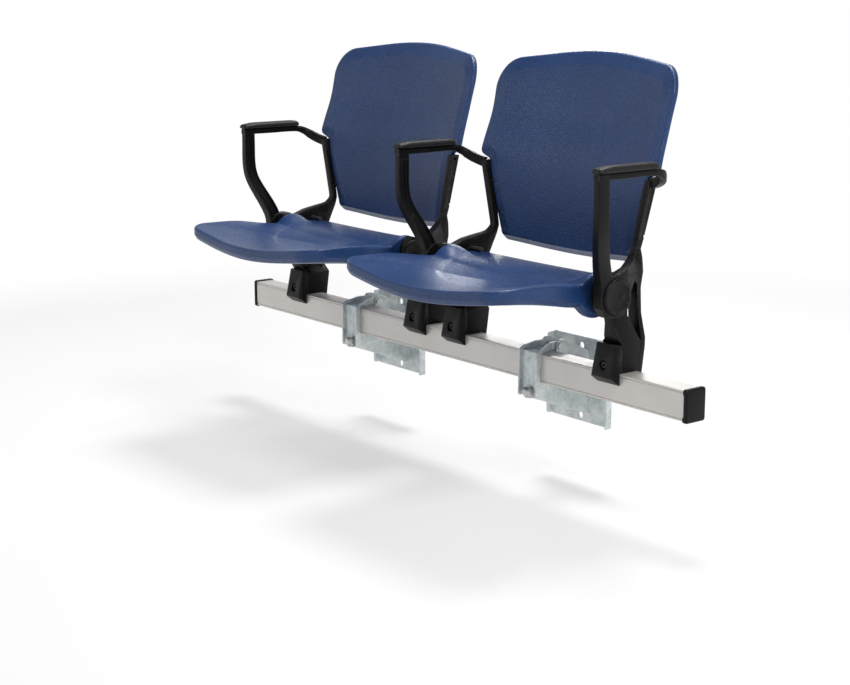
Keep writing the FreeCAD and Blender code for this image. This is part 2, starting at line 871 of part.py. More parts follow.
def build_nodes():
    """Every sub-part by its name."""
    nodes = {}
    nodes["beam"] = place(make_beam())
    nodes["beam_end_cap_left"] = place(make_end_cap(beam_left_end, -1))
    nodes["beam_end_cap_right"] = place(make_end_cap(beam_right_end, 1))
    for side, x in (("left", -bracket_x), ("right", bracket_x)):
        nodes["wall_plate_" + side] = place(make_wall_plate(), x)
        nodes["bracket_arm_" + side] = place(make_bracket_arm(), x)
        nodes["clamp_strap_" + side] = place(make_clamp_strap(), x)
        nodes["strap_pin_" + side] = place(make_strap_pin(), x)
        nodes["strap_bolt_" + side] = place(make_strap_bolt(), x)
    arms = {
        ("left_seat", "left"): "left",
        ("right_seat", "left"): "middle",
        ("right_seat", "right"): "right",
    }
    groups = {"jaw_screws": [], "back_screws": [], "arm_screws": [], "seat_stop_pegs": []}
    for seat, x in seat_centres.items():
        nodes[seat + "_shell"] = place(make_seat_shell(), x)
        nodes[seat.replace("seat", "back") + "_shell"] = place(make_back_shell(), x)
        for side in ("left", "right"):
            end = "_" + seat + "_" + side
            arm = arms.get((seat, side))
            face = arm_ring_outer if arm else hub_outer
            nodes["standard" + end] = place(on_side(make_standard(), side), x)
            nodes["clamp_jaw" + end] = place(on_side(make_clamp_jaw(), side), x)
            nodes["pivot_pin" + end] = place(on_side(make_pivot_pin(face - 0.2), side), x)
            nodes["pivot_bush" + end] = place(on_side(make_pivot_bush(), side), x)
            nodes["hub_cap" + end] = place(on_side(make_hub_cap(face), side), x)
            groups["jaw_screws"].append(place(on_side(make_jaw_screw(), side), x))
            groups["seat_stop_pegs"].append(place(on_side(make_stop_peg(), side), x))
            for screw in make_back_screws():
                groups["back_screws"].append(place(on_side(screw, side), x))
            if arm:
                nodes[arm + "_arm"] = place(on_side(make_arm(), side), x)
                nodes[arm + "_arm_pad"] = place(on_side(make_arm_pad(), side), x)
                groups["arm_screws"].append(place(on_side(make_arm_screw(), side), x))
    for name, solids in groups.items():
        nodes[name] = Part.makeCompound(solids)
    return nodes


os.makedirs("parts", exist_ok=True)
for name, shape in build_nodes().items():
    shape.exportStep("parts/" + name + ".step")
    state = "valid" if shape.isValid() else "NOT VALID"
    print(name, state, len(shape.Solids), "solids", round(shape.Volume / 1000, 1), "cm3")
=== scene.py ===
import json
import math

import bmesh
import bpy
import numpy as np
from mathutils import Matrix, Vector


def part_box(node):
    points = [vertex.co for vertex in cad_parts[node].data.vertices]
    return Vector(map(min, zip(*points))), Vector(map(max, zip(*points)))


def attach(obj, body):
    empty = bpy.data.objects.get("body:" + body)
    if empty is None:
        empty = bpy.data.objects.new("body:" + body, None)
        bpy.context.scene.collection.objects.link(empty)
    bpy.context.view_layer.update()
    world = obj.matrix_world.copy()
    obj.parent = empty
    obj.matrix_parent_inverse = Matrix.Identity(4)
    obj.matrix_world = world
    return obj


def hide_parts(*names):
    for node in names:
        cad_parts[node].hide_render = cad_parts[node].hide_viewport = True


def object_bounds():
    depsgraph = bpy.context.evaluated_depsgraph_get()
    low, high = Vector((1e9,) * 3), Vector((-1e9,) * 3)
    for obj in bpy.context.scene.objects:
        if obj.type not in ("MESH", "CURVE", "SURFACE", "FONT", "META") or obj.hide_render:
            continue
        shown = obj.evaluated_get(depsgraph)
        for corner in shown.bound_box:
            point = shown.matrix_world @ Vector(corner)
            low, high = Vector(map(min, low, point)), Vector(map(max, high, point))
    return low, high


# Looks of a pair of tip-up stadium seats. Metres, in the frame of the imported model.
# Shells, arms and screws are drawn in millimetres from a seat's middle and the beam's top
# front edge, as the construction is: x across, y to the rear, z up. at_beam() moves them.

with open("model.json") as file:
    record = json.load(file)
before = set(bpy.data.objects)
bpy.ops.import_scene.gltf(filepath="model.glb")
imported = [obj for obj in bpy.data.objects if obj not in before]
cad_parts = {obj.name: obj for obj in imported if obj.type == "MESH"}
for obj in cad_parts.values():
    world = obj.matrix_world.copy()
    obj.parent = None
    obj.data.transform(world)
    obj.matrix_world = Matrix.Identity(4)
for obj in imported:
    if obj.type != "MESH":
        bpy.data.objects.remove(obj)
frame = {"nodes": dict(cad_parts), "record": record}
cad_low, cad_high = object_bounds()

MM = 0.001

# Places read from the frame
beam_low, beam_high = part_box("beam")
BEAM_FRONT = beam_low.y
BEAM_TOP = beam_high.z
SEATS = ("left_seat", "right_seat")
# The seat that each arm is drawn from, and the side of it
ARMS = {
    "left_arm": ("left_seat", -1),
    "middle_arm": ("right_seat", -1),
    "right_arm": ("right_seat", 1),
}


def middle_x(node):
    """Middle of a node along the beam."""
    low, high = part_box(node)
    return (low.x + high.x) / 2


SEAT_X = {seat: middle_x(seat + "_shell") for seat in SEATS}


# Shader node groups

def new_group(name, inputs, outputs):
    """Shader node group that takes numbers and gives masks or heights."""
    tree = bpy.data.node_groups.new(name, "ShaderNodeTree")
    for label, value in inputs.items():
        socket = tree.interface.new_socket(label, in_out="INPUT", socket_type="NodeSocketFloat")
        socket.default_value = value
    for label in outputs:
        tree.interface.new_socket(label, in_out="OUTPUT", socket_type="NodeSocketFloat")
    start = tree.nodes.new("NodeGroupInput")
    end = tree.nodes.new("NodeGroupOutput")
    return tree, start.outputs, end.inputs


def add(tree, kind, inputs=None, **settings):
    """New node with its settings; each input takes a value, or a link from a socket."""
    node = tree.nodes.new(kind)
    for key, value in settings.items():
        setattr(node, key, value)
    for key, value in (inputs or {}).items():
        if isinstance(value, bpy.types.NodeSocket):
            tree.links.new(value, node.inputs[key])
        else:
            node.inputs[key].default_value = value
    return node


def math_node(tree, operation, *values, clamp=False):
    """Result of a maths node on sockets or numbers."""
    inputs = dict(enumerate(values))
    return add(tree, "ShaderNodeMath", inputs, operation=operation, use_clamp=clamp).outputs[0]


def map_range(tree, value, low, high, new_low=0.0, new_high=1.0):
    """Value stretched from one range to another, eased at both ends."""
    inputs = {"Value": value, "From Min": low, "From Max": high}
    inputs.update({"To Min": new_low, "To Max": new_high})
    node = add(tree, "ShaderNodeMapRange", inputs, interpolation_type="SMOOTHSTEP")
    return node.outputs["Result"]


def object_coordinates(tree, scale=(1, 1, 1), turn=(0, 0, 0)):
    """Object coordinates, stretched and turned."""
    place = add(tree, "ShaderNodeTexCoord").outputs["Object"]
    inputs = {"Vector": place, "Scale": scale, "Rotation": turn}
    return add(tree, "ShaderNodeMapping", inputs).outputs["Vector"]


def noise(tree, place, scale, detail, roughness=0.5):
    """Soft noise, mostly between 0.3 and 0.7."""
    inputs = {"Vector": place, "Scale": scale, "Detail": detail, "Roughness": roughness}
    return add(tree, "ShaderNodeTexNoise", inputs).outputs["Fac"]


def make_grain_group():
    """Pebbled skin of a moulding: fine cells over a slower roll of the surface."""
    inputs = {"Cell Scale": 450.0, "Roll": 0.5}
    tree, given, results = new_group("moulded_grain", inputs, ["Height", "Pits"])
    place = object_coordinates(tree)
    scale = given["Cell Scale"]
    cells = {"Vector": place, "Scale": scale, "Randomness": 1.0}
    cells = add(tree, "ShaderNodeTexVoronoi", cells, feature="SMOOTH_F1").outputs["Distance"]
    pits = map_range(tree, cells, low=0.05, high=0.75)
    fine = noise(tree, place, scale, detail=3.0, roughness=0.6)
    pebbles = math_node(tree, "MULTIPLY_ADD", fine, 0.6, pits)
    slow = noise(tree, place, scale=60.0, detail=2.0)
    rolled = math_node(tree, "MULTIPLY", slow, given["Roll"])
    tree.links.new(math_node(tree, "ADD", pebbles, rolled), results["Height"])
    tree.links.new(pits, results["Pits"])
    return tree


def make_blotch_group():
    """Slow uneven patches of colour, from 0 to 1."""
    tree, given, results = new_group("uneven_patches", {"Scale": 6.0, "Contrast": 1.0}, ["Mask"])
    slow = noise(tree, object_coordinates(tree), given["Scale"], detail=4.0, roughness=0.55)
    centred = math_node(tree, "SUBTRACT", map_range(tree, slow, low=0.3, high=0.7), 0.5)
    scaled = math_node(tree, "MULTIPLY", centred, given["Contrast"])
    tree.links.new(math_node(tree, "ADD", scaled, 0.5, clamp=True), results["Mask"])
    return tree


def make_edge_group():
    """Paler edges of wear and painted highlight: where the surface turns within a small radius."""
    inputs = {"Radius": 1.5 * MM, "Breakup": 120.0}
    tree, given, results = new_group("worn_and_highlit_edges", inputs, ["Mask"])
    rounded = add(tree, "ShaderNodeBevel", {"Radius": given["Radius"]}, samples=6)
    flat = add(tree, "ShaderNodeNewGeometry")
    normals = {0: rounded.outputs["Normal"], 1: flat.outputs["Normal"]}
    turn = add(tree, "ShaderNodeVectorMath", normals, operation="DOT_PRODUCT")
    edge = map_range(tree, turn.outputs["Value"], low=0.995, high=0.86)
    rough = noise(tree, object_coordinates(tree), given["Breakup"], detail=4.0, roughness=0.65)
    broken = map_range(tree, rough, low=0.35, high=0.62)
    tree.links.new(math_node(tree, "MULTIPLY", edge, broken, clamp=True), results["Mask"])
    return tree


def make_scuff_group():
    """Short fine scratches in two slanting directions."""
    tree, given, results = new_group("fine_scuffs", {"Amount": 0.5}, ["Mask"])
    masks = []
    for stretch, slant in (((14, 9, 230), 0.5), ((210, 12, 17), -0.7)):
        place = object_coordinates(tree, stretch, (slant, 0.3, slant))
        lines = noise(tree, place, scale=1.0, detail=2.0)
        masks.append(map_range(tree, lines, low=0.70, high=0.76))
    both = math_node(tree, "MAXIMUM", *masks)
    tree.links.new(math_node(tree, "MULTIPLY", both, given["Amount"], clamp=True), results["Mask"])
    return tree


GRAIN = make_grain_group()
PATCHES = make_blotch_group()
EDGE_WEAR_AND_HIGHLIGHT = make_edge_group()
SCUFFS = make_scuff_group()


# Materials

def group_node(tree, group, **values):
    """Outputs of a shared group placed in a material, with its own values."""
    inputs = {label.replace("_", " "): value for label, value in values.items()}
    return add(tree, "ShaderNodeGroup", inputs, node_tree=group).outputs


def mix_colour(tree, mask, first, second):
    """Colour between two, each a socket or a colour, by a mask."""
    node = add(tree, "ShaderNodeMix", {"Factor": mask}, data_type="RGBA")
    for label, value in (("A", first), ("B", second)):
        socket = next(s for s in node.inputs if s.name == label and s.type == "RGBA")
        if isinstance(value, tuple):
            socket.default_value = (*value, 1.0)
        else:
            tree.links.new(value, socket)
    return next(s for s in node.outputs if s.type == "RGBA")


def new_material(name):
    """Material, its node tree and the inputs of its Principled shader."""
    material = bpy.data.materials.new(name)
    material.use_nodes = True
    tree = material.node_tree
    return material, tree, tree.nodes["Principled BSDF"].inputs


def surface(tree, shader, colour, roughness, height, strength, distance):
    """Colour, roughness and the relief of a height, linked to a shader."""
    inputs = {"Height": height, "Strength": strength, "Distance": distance}
    relief = add(tree, "ShaderNodeBump", inputs)
    tree.links.new(colour, shader["Base Color"])
    tree.links.new(roughness, shader["Roughness"])
    tree.links.new(relief.outputs["Normal"], shader["Normal"])


def moulded_plastic(name, colours, roughness, cells, relief, scuffs, gloss, edge_wear_and_highlight):
    """Grained plastic: uneven colour, fine scuffs, paler edges of wear and painted highlight."""
    plain, light, wear_and_highlight = colours
    material, tree, shader = new_material(name)
    grain = group_node(tree, GRAIN, Cell_Scale=cells, Roll=0.6)
    patches = group_node(tree, PATCHES, Scale=7.0, Contrast=1.0)["Mask"]
    edges = group_node(tree, EDGE_WEAR_AND_HIGHLIGHT, Radius=1.6 * MM, Breakup=90.0)["Mask"]
    marks = group_node(tree, SCUFFS, Amount=scuffs)["Mask"]
    base = mix_colour(tree, patches, plain, light)
    # Painted highlight and wear: edges turn paler by the edge mask; scuffs take the same colour
    base = mix_colour(tree, math_node(tree, "MULTIPLY", edges, edge_wear_and_highlight), base, wear_and_highlight)
    base = mix_colour(tree, marks, base, wear_and_highlight)
    dull, shiny = roughness + 0.10, roughness - 0.06
    pitted = map_range(tree, grain["Pits"], low=0.0, high=1.0, new_low=dull, new_high=shiny)
    worn = math_node(tree, "MULTIPLY_ADD", marks, 0.25, pitted)
    surface(tree, shader, base, worn, grain["Height"], strength=relief, distance=0.6 * MM)
    shader["Specular IOR Level"].default_value = gloss
    return material


def zinc_coated(name):
    """Hot-dip zinc: pale mottled spangle, dull streaks, whiter edges of wear and painted
    highlight.
    """
    material, tree, shader = new_material(name)
    place = object_coordinates(tree)
    cells = {"Vector": place, "Scale": 130.0, "Randomness": 1.0}
    spangle = add(tree, "ShaderNodeTexVoronoi", cells).outputs["Color"]
    grey = add(tree, "ShaderNodeSeparateColor", {"Color": spangle}).outputs["Red"]
    patches = group_node(tree, PATCHES, Scale=28.0, Contrast=1.3)["Mask"]
    edges = group_node(tree, EDGE_WEAR_AND_HIGHLIGHT, Radius=2.2 * MM, Breakup=60.0)["Mask"]
    facets = math_node(tree, "MULTIPLY", grey, 0.45)
    mottle = math_node(tree, "ADD", facets, math_node(tree, "MULTIPLY", patches, 0.6))
    dark, light, wear_and_highlight = ZINC
    # Painted highlight and wear: edges turn whiter by the edge mask
    base = mix_colour(tree, edges, mix_colour(tree, mottle, dark, light), wear_and_highlight)
    rough = map_range(tree, mottle, low=0.1, high=0.9, new_low=0.34, new_high=0.55)
    ripple = noise(tree, place, scale=160.0, detail=3.0)
    surface(tree, shader, base, rough, ripple, strength=0.25, distance=0.5 * MM)
    shader["Metallic"].default_value = 0.30
    return material


def drawn_aluminium(name):
    """Natural anodised extrusion: satin, with fine lines along its length."""
    material, tree, shader = new_material(name)
    place = object_coordinates(tree, scale=(2.0, 900.0, 900.0))
    lines = noise(tree, place, scale=1.0, detail=4.0, roughness=0.7)
    patches = group_node(tree, PATCHES, Scale=9.0, Contrast=0.8)["Mask"]
    edges = group_node(tree, EDGE_WEAR_AND_HIGHLIGHT, Radius=1.2 * MM, Breakup=40.0)["Mask"]
    streak = math_node(tree, "MULTIPLY", lines, 0.5)
    tone = math_node(tree, "ADD", streak, math_node(tree, "MULTIPLY", patches, 0.5))
    dark, light, wear_and_highlight = ALUMINIUM
    # Painted highlight and wear: edges turn paler by the edge mask
    base = mix_colour(tree, edges, mix_colour(tree, tone, dark, light), wear_and_highlight)
    rough = map_range(tree, lines, low=0.3, high=0.7, new_low=0.36, new_high=0.48)
    surface(tree, shader, base, rough, lines, strength=0.12, distance=0.2 * MM)
    shader["Metallic"].default_value = 0.45
    return material


def plain_metal(name, dark, light, metallic, roughness):
    """Turned or plated steel: a slow change of tone, fine ripple, paler edges of wear and painted
    highlight.
    """
    material, tree, shader = new_material(name)
    patches = group_node(tree, PATCHES, Scale=90.0, Contrast=1.0)["Mask"]
    edges = group_node(tree, EDGE_WEAR_AND_HIGHLIGHT, Radius=0.9 * MM, Breakup=200.0)["Mask"]
    # Edge colour: painted highlight and wear, paler than the metal
    worn = tuple(min(1.0, part * 1.6 + 0.02) for part in light)
    base = mix_colour(tree, edges, mix_colour(tree, patches, dark, light), worn)
    shiny, dull = roughness - 0.06, roughness + 0.08
    rough = map_range(tree, patches, low=0.0, high=1.0, new_low=shiny, new_high=dull)
    ripple = noise(tree, object_coordinates(tree), scale=700.0, detail=2.0)
    surface(tree, shader, base, rough, ripple, strength=0.15, distance=0.2 * MM)
    shader["Metallic"].default_value = metallic
    return material


# Colour, its lighter patches, and its edge colour of wear and painted highlight, also used for
# scuffs
BLUE = ((0.011, 0.040, 0.136), (0.017, 0.051, 0.160), (0.080, 0.140, 0.320))
BLACK = ((0.0035, 0.0034, 0.0039), (0.0065, 0.0062, 0.0060), (0.130, 0.124, 0.118))
PAD_BLACK = (BLACK[1], (0.010, 0.0095, 0.009), BLACK[2])
RUBBER = ((0.016, 0.016, 0.016), (0.022, 0.022, 0.022), (0.05, 0.05, 0.05))
BUSH = ((0.58, 0.56, 0.51), (0.66, 0.64, 0.59), (0.74, 0.72, 0.68))
ZINC = ((0.46, 0.52, 0.53), (0.78, 0.82, 0.82), (0.93, 0.95, 0.95))
ALUMINIUM = ((0.58, 0.555, 0.525), (0.70, 0.675, 0.645), (0.88, 0.87, 0.85))

# Colours, roughness, grain cells per metre, relief, scuffs, gloss, share of edge colour (wear and
# painted highlight)
PLASTICS = {
    "blue_shell": (BLUE, 0.33, 420.0, 0.60, 0.25, 0.34, 0.55),
    "black_nylon": (BLACK, 0.36, 900.0, 0.30, 0.15, 0.16, 0.85),
    "black_pad": (PAD_BLACK, 0.46, 700.0, 0.35, 0.20, 0.30, 0.70),
    "black_cap": (BLACK, 0.34, 900.0, 0.25, 0.10, 0.16, 0.80),
    "black_rubber": (RUBBER, 0.60, 800.0, 0.30, 0.05, 0.50, 0.55),
    "pale_bush": (BUSH, 0.40, 900.0, 0.15, 0.05, 0.50, 0.55),
}
# Dark and light tone, metallic, roughness
STEELS = {
    "black_steel": ((0.006, 0.006, 0.006), (0.013, 0.013, 0.013), 0.3, 0.40),
    "bright_steel": ((0.36, 0.37, 0.37), (0.58, 0.58, 0.57), 0.85, 0.34),
}
MATERIALS = {name: moulded_plastic(name, *values) for name, values in PLASTICS.items()}
MATERIALS.update({name: plain_metal(name, *values) for name, values in STEELS.items()})
MATERIALS["zinc_steel"] = zinc_coated("zinc_steel")
MATERIALS["anodised_aluminium"] = drawn_aluminium("anodised_aluminium")

SLOT_OF = {entry["node"]: entry["material_slot"] for entry in frame["record"]["subparts"]}
BODY_OF = {}
for body, members in frame["record"]["behaviour"]["bodies"].items():
    for member in members:
        BODY_OF[member] = body


def dress(piece, slot_name):
    """Gives a piece one material, that of its slot."""
    piece.data.materials.clear()
    piece.data.materials.append(MATERIALS[slot_name])


# Mesh helpers

def new_object(name, data):
    """Object in the scene."""
    made = bpy.data.objects.new(name, data)
    bpy.context.scene.collection.objects.link(made)
    return made


def piece_from(name, mesh, node):
    """A finished mesh as a piece that stands for a CAD node, on its body and in its slot."""
    piece = new_object(name, mesh)
    dress(piece, SLOT_OF[node])
    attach(piece, BODY_OF[node])
    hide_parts(node)


def evaluated_mesh(piece, name):
    """Plain mesh of a piece with its modifiers applied; the piece is removed."""
    graph = bpy.context.evaluated_depsgraph_get()
    mesh = bpy.data.meshes.new_from_object(piece.evaluated_get(graph))
    mesh.name = name
    bpy.data.objects.remove(piece)
    return mesh


def smooth_by_angle(mesh, degrees):
    """Smooth faces, with edges sharper than an angle kept sharp."""
    sharp = math.radians(degrees)
    work = bmesh.new()
    work.from_mesh(mesh)
    for face in work.faces:
        face.smooth = True
    for edge in work.edges:
        if len(edge.link_faces) == 2:
            edge.smooth = edge.calc_face_angle(0.0) < sharp
    work.to_mesh(mesh)
    work.free()


# Rounding of carried-over nodes: points merged within a distance, nearly flat edges
# dissolved, and edges that turn by more than an angle rounded
MERGE_WITHIN = 2e-6
FLAT_UNDER = math.radians(0.4)
ROUND_OVER = math.radians(28)


def softened(node, radius_mm, reshape=None):
    """Copy of a CAD node with its sharp edges rounded, and reshaped first if asked."""
    work = bmesh.new()
    work.from_mesh(frame["nodes"][node].data)
    bmesh.ops.remove_doubles(work, verts=work.verts, dist=MERGE_WITHIN)
    bmesh.ops.dissolve_limit(
        work,
        angle_limit=FLAT_UNDER,
        verts=work.verts,
        edges=work.edges,
        use_dissolve_boundaries=False,
    )
    if reshape:
        for vertex in work.verts:
            vertex.co = reshape(vertex.co)
    mesh = bpy.data.meshes.new(node + "_finish")
    work.to_mesh(mesh)
    work.free()
    holder = new_object(node + "_work", mesh)
    rounding = holder.modifiers.new("rounding", "BEVEL")
    rounding.width = radius_mm * MM
    rounding.segments = 2
    rounding.limit_method = "ANGLE"
    rounding.angle_limit = ROUND_OVER
    rounding.use_clamp_overlap = True
    rounding.miter_outer = "MITER_ARC"
    finished = evaluated_mesh(holder, node + "_finish")
    smooth_by_angle(finished, degrees=32)
    piece_from(node + "_finish", finished, node)


# Shell geometry

LOOP_POINTS = 480  # in every ring of a seat or back
LEAST_RADIUS = 3.0  # of a corner that is moved in


def cubic_through(points):
    """Natural cubic curve through (u, v) points, as a function of u."""
    u, v = np.array(points, float).T
    count = len(u)
    steps = np.diff(u)
    matrix = np.eye(count)
    right = np.zeros(count)
    for i in range(1, count - 1):
        matrix[i, i - 1] = steps[i - 1]
        matrix[i, i] = 2 * (steps[i - 1] + steps[i])
        matrix[i, i + 1] = steps[i]
        right[i] = 3 * ((v[i + 1] - v[i]) / steps[i] - (v[i] - v[i - 1]) / steps[i - 1])
    bend = np.linalg.solve(matrix, right)

    def value(at):
        at = np.asarray(at, float)
        i = np.clip(np.searchsorted(u, at) - 1, 0, count - 2)
        t = at - u[i]
        slope = (v[i + 1] - v[i]) / steps[i] - steps[i] * (2 * bend[i] + bend[i + 1]) / 3
        return v[i] + t * (slope + t * (bend[i] + t * (bend[i + 1] - bend[i]) / (3 * steps[i])))

    return value


def rounded_loop(corners, arc_steps=10, side_steps=14):
    """Points of a closed outline with rounded (u, v, radius) corners, always as many."""
    count = len(corners)
    starts = []
    ends = []
    arcs = []
    for i in range(count):
        point = np.array(corners[i][:2], float)
        radius = corners[i][2]
        back = np.array(corners[i - 1][:2], float) - point
        ahead = np.array(corners[(i + 1) % count][:2], float) - point
        back /= np.linalg.norm(back)
        ahead /= np.linalg.norm(ahead)
        half_turn = math.acos(np.clip(back @ ahead, -1, 1)) / 2
        reach = radius / math.tan(half_turn)
        centre_way = (back + ahead) / np.linalg.norm(back + ahead)
        centre = point + centre_way * radius / math.sin(half_turn)
        start = point + back * reach
        end = point + ahead * reach
        arc = []
        for k in range(arc_steps + 1):
            share = k / arc_steps
            way = (start - centre) * (1 - share) + (end - centre) * share
            arc.append(centre + way / np.linalg.norm(way) * radius)
        starts.append(start)
        ends.append(end)
        arcs.append(arc)
    points = []
    for i in range(count):
        points.extend(arcs[i])
        following = starts[(i + 1) % count]
        for k in range(1, side_steps):
            points.append(ends[i] + (following - ends[i]) * k / side_steps)
    return np.array(points)


def at_beam(points, seat):
    """Millimetres from a seat's middle and the beam's edge to metres in the frame."""
    return np.atleast_2d(points) * MM + (SEAT_X[seat], BEAM_FRONT, BEAM_TOP)


def skin(name, rings, ends, seat, side=1):
    """Mesh over rings of equal length, closed at each end by a middle point.

    The rings are a right-hand piece's, from a seat's middle, and are mirrored for side -1.
    """
    size = len(rings[0])
    placed = [at_beam(np.atleast_2d(ring) * (side, 1, 1), seat) for ring in [*rings, *ends]]
    points = [tuple(p) for ring in placed for p in ring]
    faces = []
    for r in range(len(rings) - 1):
        for k in range(size):
            a = r * size + k
            b = r * size + (k + 1) % size
            faces.append((a, b, b + size, a + size))
    for end, ring in enumerate((0, len(rings) - 1)):
        middle = len(rings) * size + end
        for k in range(size):
            a = ring * size + k
            b = ring * size + (k + 1) % size
            faces.append((a, middle, b) if ring == 0 else (a, b, middle))
    mesh = bpy.data.meshes.new(name)
    mesh.from_pydata(points, [], faces)
    work = bmesh.new()
    work.from_mesh(mesh)
    bmesh.ops.recalc_face_normals(work, faces=work.faces)
    work.to_mesh(mesh)
    work.free()
    for polygon in mesh.polygons:
        polygon.use_smooth = True
    return mesh


def moved_in(corners, distances):
    """Rounded (u, v, radius) corners with each side moved inwards by its own distance."""
    if np.isscalar(distances):
        distances = [distances] * len(corners)
    count = len(corners)
    points = [np.array(corner[:2], float) for corner in corners]
    ways = []
    for i in range(count):
        way = points[(i + 1) % count] - points[i]
        ways.append(way / np.linalg.norm(way))
    result = []
    for i in range(count):
        before = ways[i - 1]
        after = ways[i]
        first = points[i] + distances[i - 1] * np.array([-before[1], before[0]])
        second = points[i] + distances[i] * np.array([-after[1], after[0]])
        turn = before[0] * after[1] - before[1] * after[0]
        gap = second - first
        along = (gap[0] * after[1] - gap[1] * after[0]) / turn
        place = first + before * along
        inset = max(distances[i - 1], distances[i])
        radius = corners[i][2] - inset if turn > 0 else corners[i][2] + inset
        result.append((place[0], place[1], max(radius, LEAST_RADIUS)))
    return result


def evenly(loop):
    """The same closed outline through evenly spaced points."""
    closed = np.vstack([loop, loop[:1]])
    steps = np.hypot(*np.diff(closed, axis=0).T)
    along = np.concatenate([[0.0], np.cumsum(steps)])
    at = np.linspace(0.0, along[-1], LOOP_POINTS, endpoint=False)
    return np.column_stack([np.interp(at, along, closed[:, k]) for k in (0, 1)])


def eased(value, low, high):
    """0 below low, 1 above high, with a smooth rise between."""
    share = np.clip((value - low) / (high - low), 0.0, 1.0)
    return share * share * (3 - 2 * share)


# Back shell: outline and section, as the construction has them

BACK_HALF = 243.0
BACK_HIGH = 566.0
BACK_CREASE = 187.0  # height of the crease along the foot, in the middle
CREASE_RISE = 14.0  # from there to its ends
CREASE_HALF = 186.0
FOOT_ABOVE = 9.0  # the foot's section reaches this far above the crease
FOOT_BLEND = 8.0
BACK_THICK = 17.5
BACK_HOLLOW = 30.0  # how far the middle stands behind the sides
HOLLOW_HALF = 240.0
BORDER = 23.0
UPRIGHT_TOP = 342.0
BACK_MIDDLE = np.array([0.0, 385.0])
back_front = cubic_through(
    [(170, 72.3), (187, 72), (280, 70.5), (361, 78), (427, 98.5), (494, 116.5), (590, 148)]
)


def back_loop(inset, drop):
    """Front outline of the back, inside its edge at the sides and lowered at its foot."""
    right = [
        (186.6, BACK_CREASE + 10, 13),
        (219.4, UPRIGHT_TOP + 1.2, 8),
        (244.6, UPRIGHT_TOP + 13, 14),
        (BACK_HALF - 4, 440, 400),
        (BACK_HALF, 500, 68),
        (221, 540, 48),
    ]
    left = [(-x, z, radius) for x, z, radius in reversed(right)]
    corners = [(0, BACK_CREASE - 4, 1400)] + right + [(0, BACK_HIGH, 900)] + left
    sides = [inset] * len(corners)
    sides[0] = sides[-1] = -drop
    return evenly(rounded_loop(moved_in(corners, sides)))


def back_ring(outline, depth, foot_depth=None):
    """Ring of the back at a depth behind its front surface, which may differ at its foot."""
    x, z = outline.T
    y = back_front(z) + BACK_HOLLOW * (1 - (x / HOLLOW_HALF) ** 2) + depth
    if foot_depth is not None:
        crease = BACK_CREASE + CREASE_RISE * (x / CREASE_HALF) ** 2
        y += (foot_depth - depth) * eased(crease + FOOT_ABOVE - z, 0, FOOT_BLEND)
    return np.column_stack([x, y, z])


# Rings over the back's edge: inset, depth, and at the foot the drop and the depth
BACK_RIM = [
    (BORDER + 1, 0.0, -3.0, 0.0),
    (BORDER - 0.5, 0.3, -1.6, 0.1),
    (BORDER - 3, 1.1, -0.8, 0.3),
    (14, 2.7, -0.2, 0.8),
    (7, 4.1, 0.6, 1.9),
    (3.4, 5.0, 2.6, 4.2),
    (1.6, 6.0, 5.4, 7.2),
    (0.5, 7.6, 8.4, 10.2),
    (0.0, 9.8, 10.6, 12.2),
    (0.0, 13.2, 11.6, 13.6),
    (0.0, 15.2, 11.8, 15.2),
    (0.7, 16.7, 11.2, 16.7),
    (2.2, 17.3, 9.6, 17.3),
    (5.0, 17.5, 7.0, 17.5),
]
# Rings of a panel, as shares of the way from its middle to its edge
BACK_FRONT_RINGS = np.linspace(0.05, 0.98, 24)
BACK_REAR_RINGS = np.linspace(0.97, 0.05, 20)


def towards_middle(outline, middle, shares):
    """Outlines of a panel between its middle and its edge."""
    return [middle + (outline - middle) * share for share in shares]


def make_back(seat):
    """Back shell: a raised middle panel, a border that falls away, and a bevelled foot."""
    front_edge, rear_edge = [back_loop(BACK_RIM[k][0], BACK_RIM[k][2]) for k in (0, -1)]
    rings = []
    for outline in towards_middle(front_edge, BACK_MIDDLE, BACK_FRONT_RINGS):
        rings.append(back_ring(outline, 0.0))
    for inset, depth, drop, foot_depth in BACK_RIM:
        rings.append(back_ring(back_loop(inset, drop), depth, foot_depth))
    for outline in towards_middle(rear_edge, BACK_MIDDLE, BACK_REAR_RINGS):
        rings.append(back_ring(outline, BACK_THICK))
    ends = [back_ring(BACK_MIDDLE[None], depth) for depth in (0.0, BACK_THICK)]
    node = seat.replace("seat", "back") + "_shell"
    mesh = skin(node + "_moulding", rings, ends, seat)
    piece_from(node + "_moulding", mesh, node)


# Seat shell

SEAT_FRONT = -292.0
SEAT_REAR = 52.0
SEAT_TAIL = -300.0
SEAT_HALF = 244.0
SEAT_MIDDLE = np.array([0.0, -115.0])
SEAT_EDGE = 9.0  # inset of the edge of its upper and lower panel
DISH_RADIUS = 172.0
DISH_DEPTH = 2.5
DISH_SLOPE = 8.0  # width of the step round the dish
DISH_FADE = 20.0  # length over which the dish begins in front of the ridge
RIDGE_FRONT = -47.0
WALL_FOOT = -88.0  # in the middle; further forward towards the sides, up to a limit
WALL_SWEEP = 52.0  # so far forward at a distance from the middle
WALL_SWEEP_AT = 133.0
WALL_FOOT_LIMIT = -215.0
HINGE_Y = -26.0
HINGE_Z = 145.0
EAR_RADIUS = 44.0
EAR_RISE = 36.5
EAR_FALL = 1.6  # slope beside a round ear
EAR_EDGE = 3.0  # where the slope begins, inside the ear's radius
# Distances from the middle between which an ear grows, and how softly it meets the seat
EAR_TOP = (148, 208)
EAR_TOP_BLEND = 13.0
EAR_LOW = (184, 196)
EAR_LOW_BLEND = 9.0


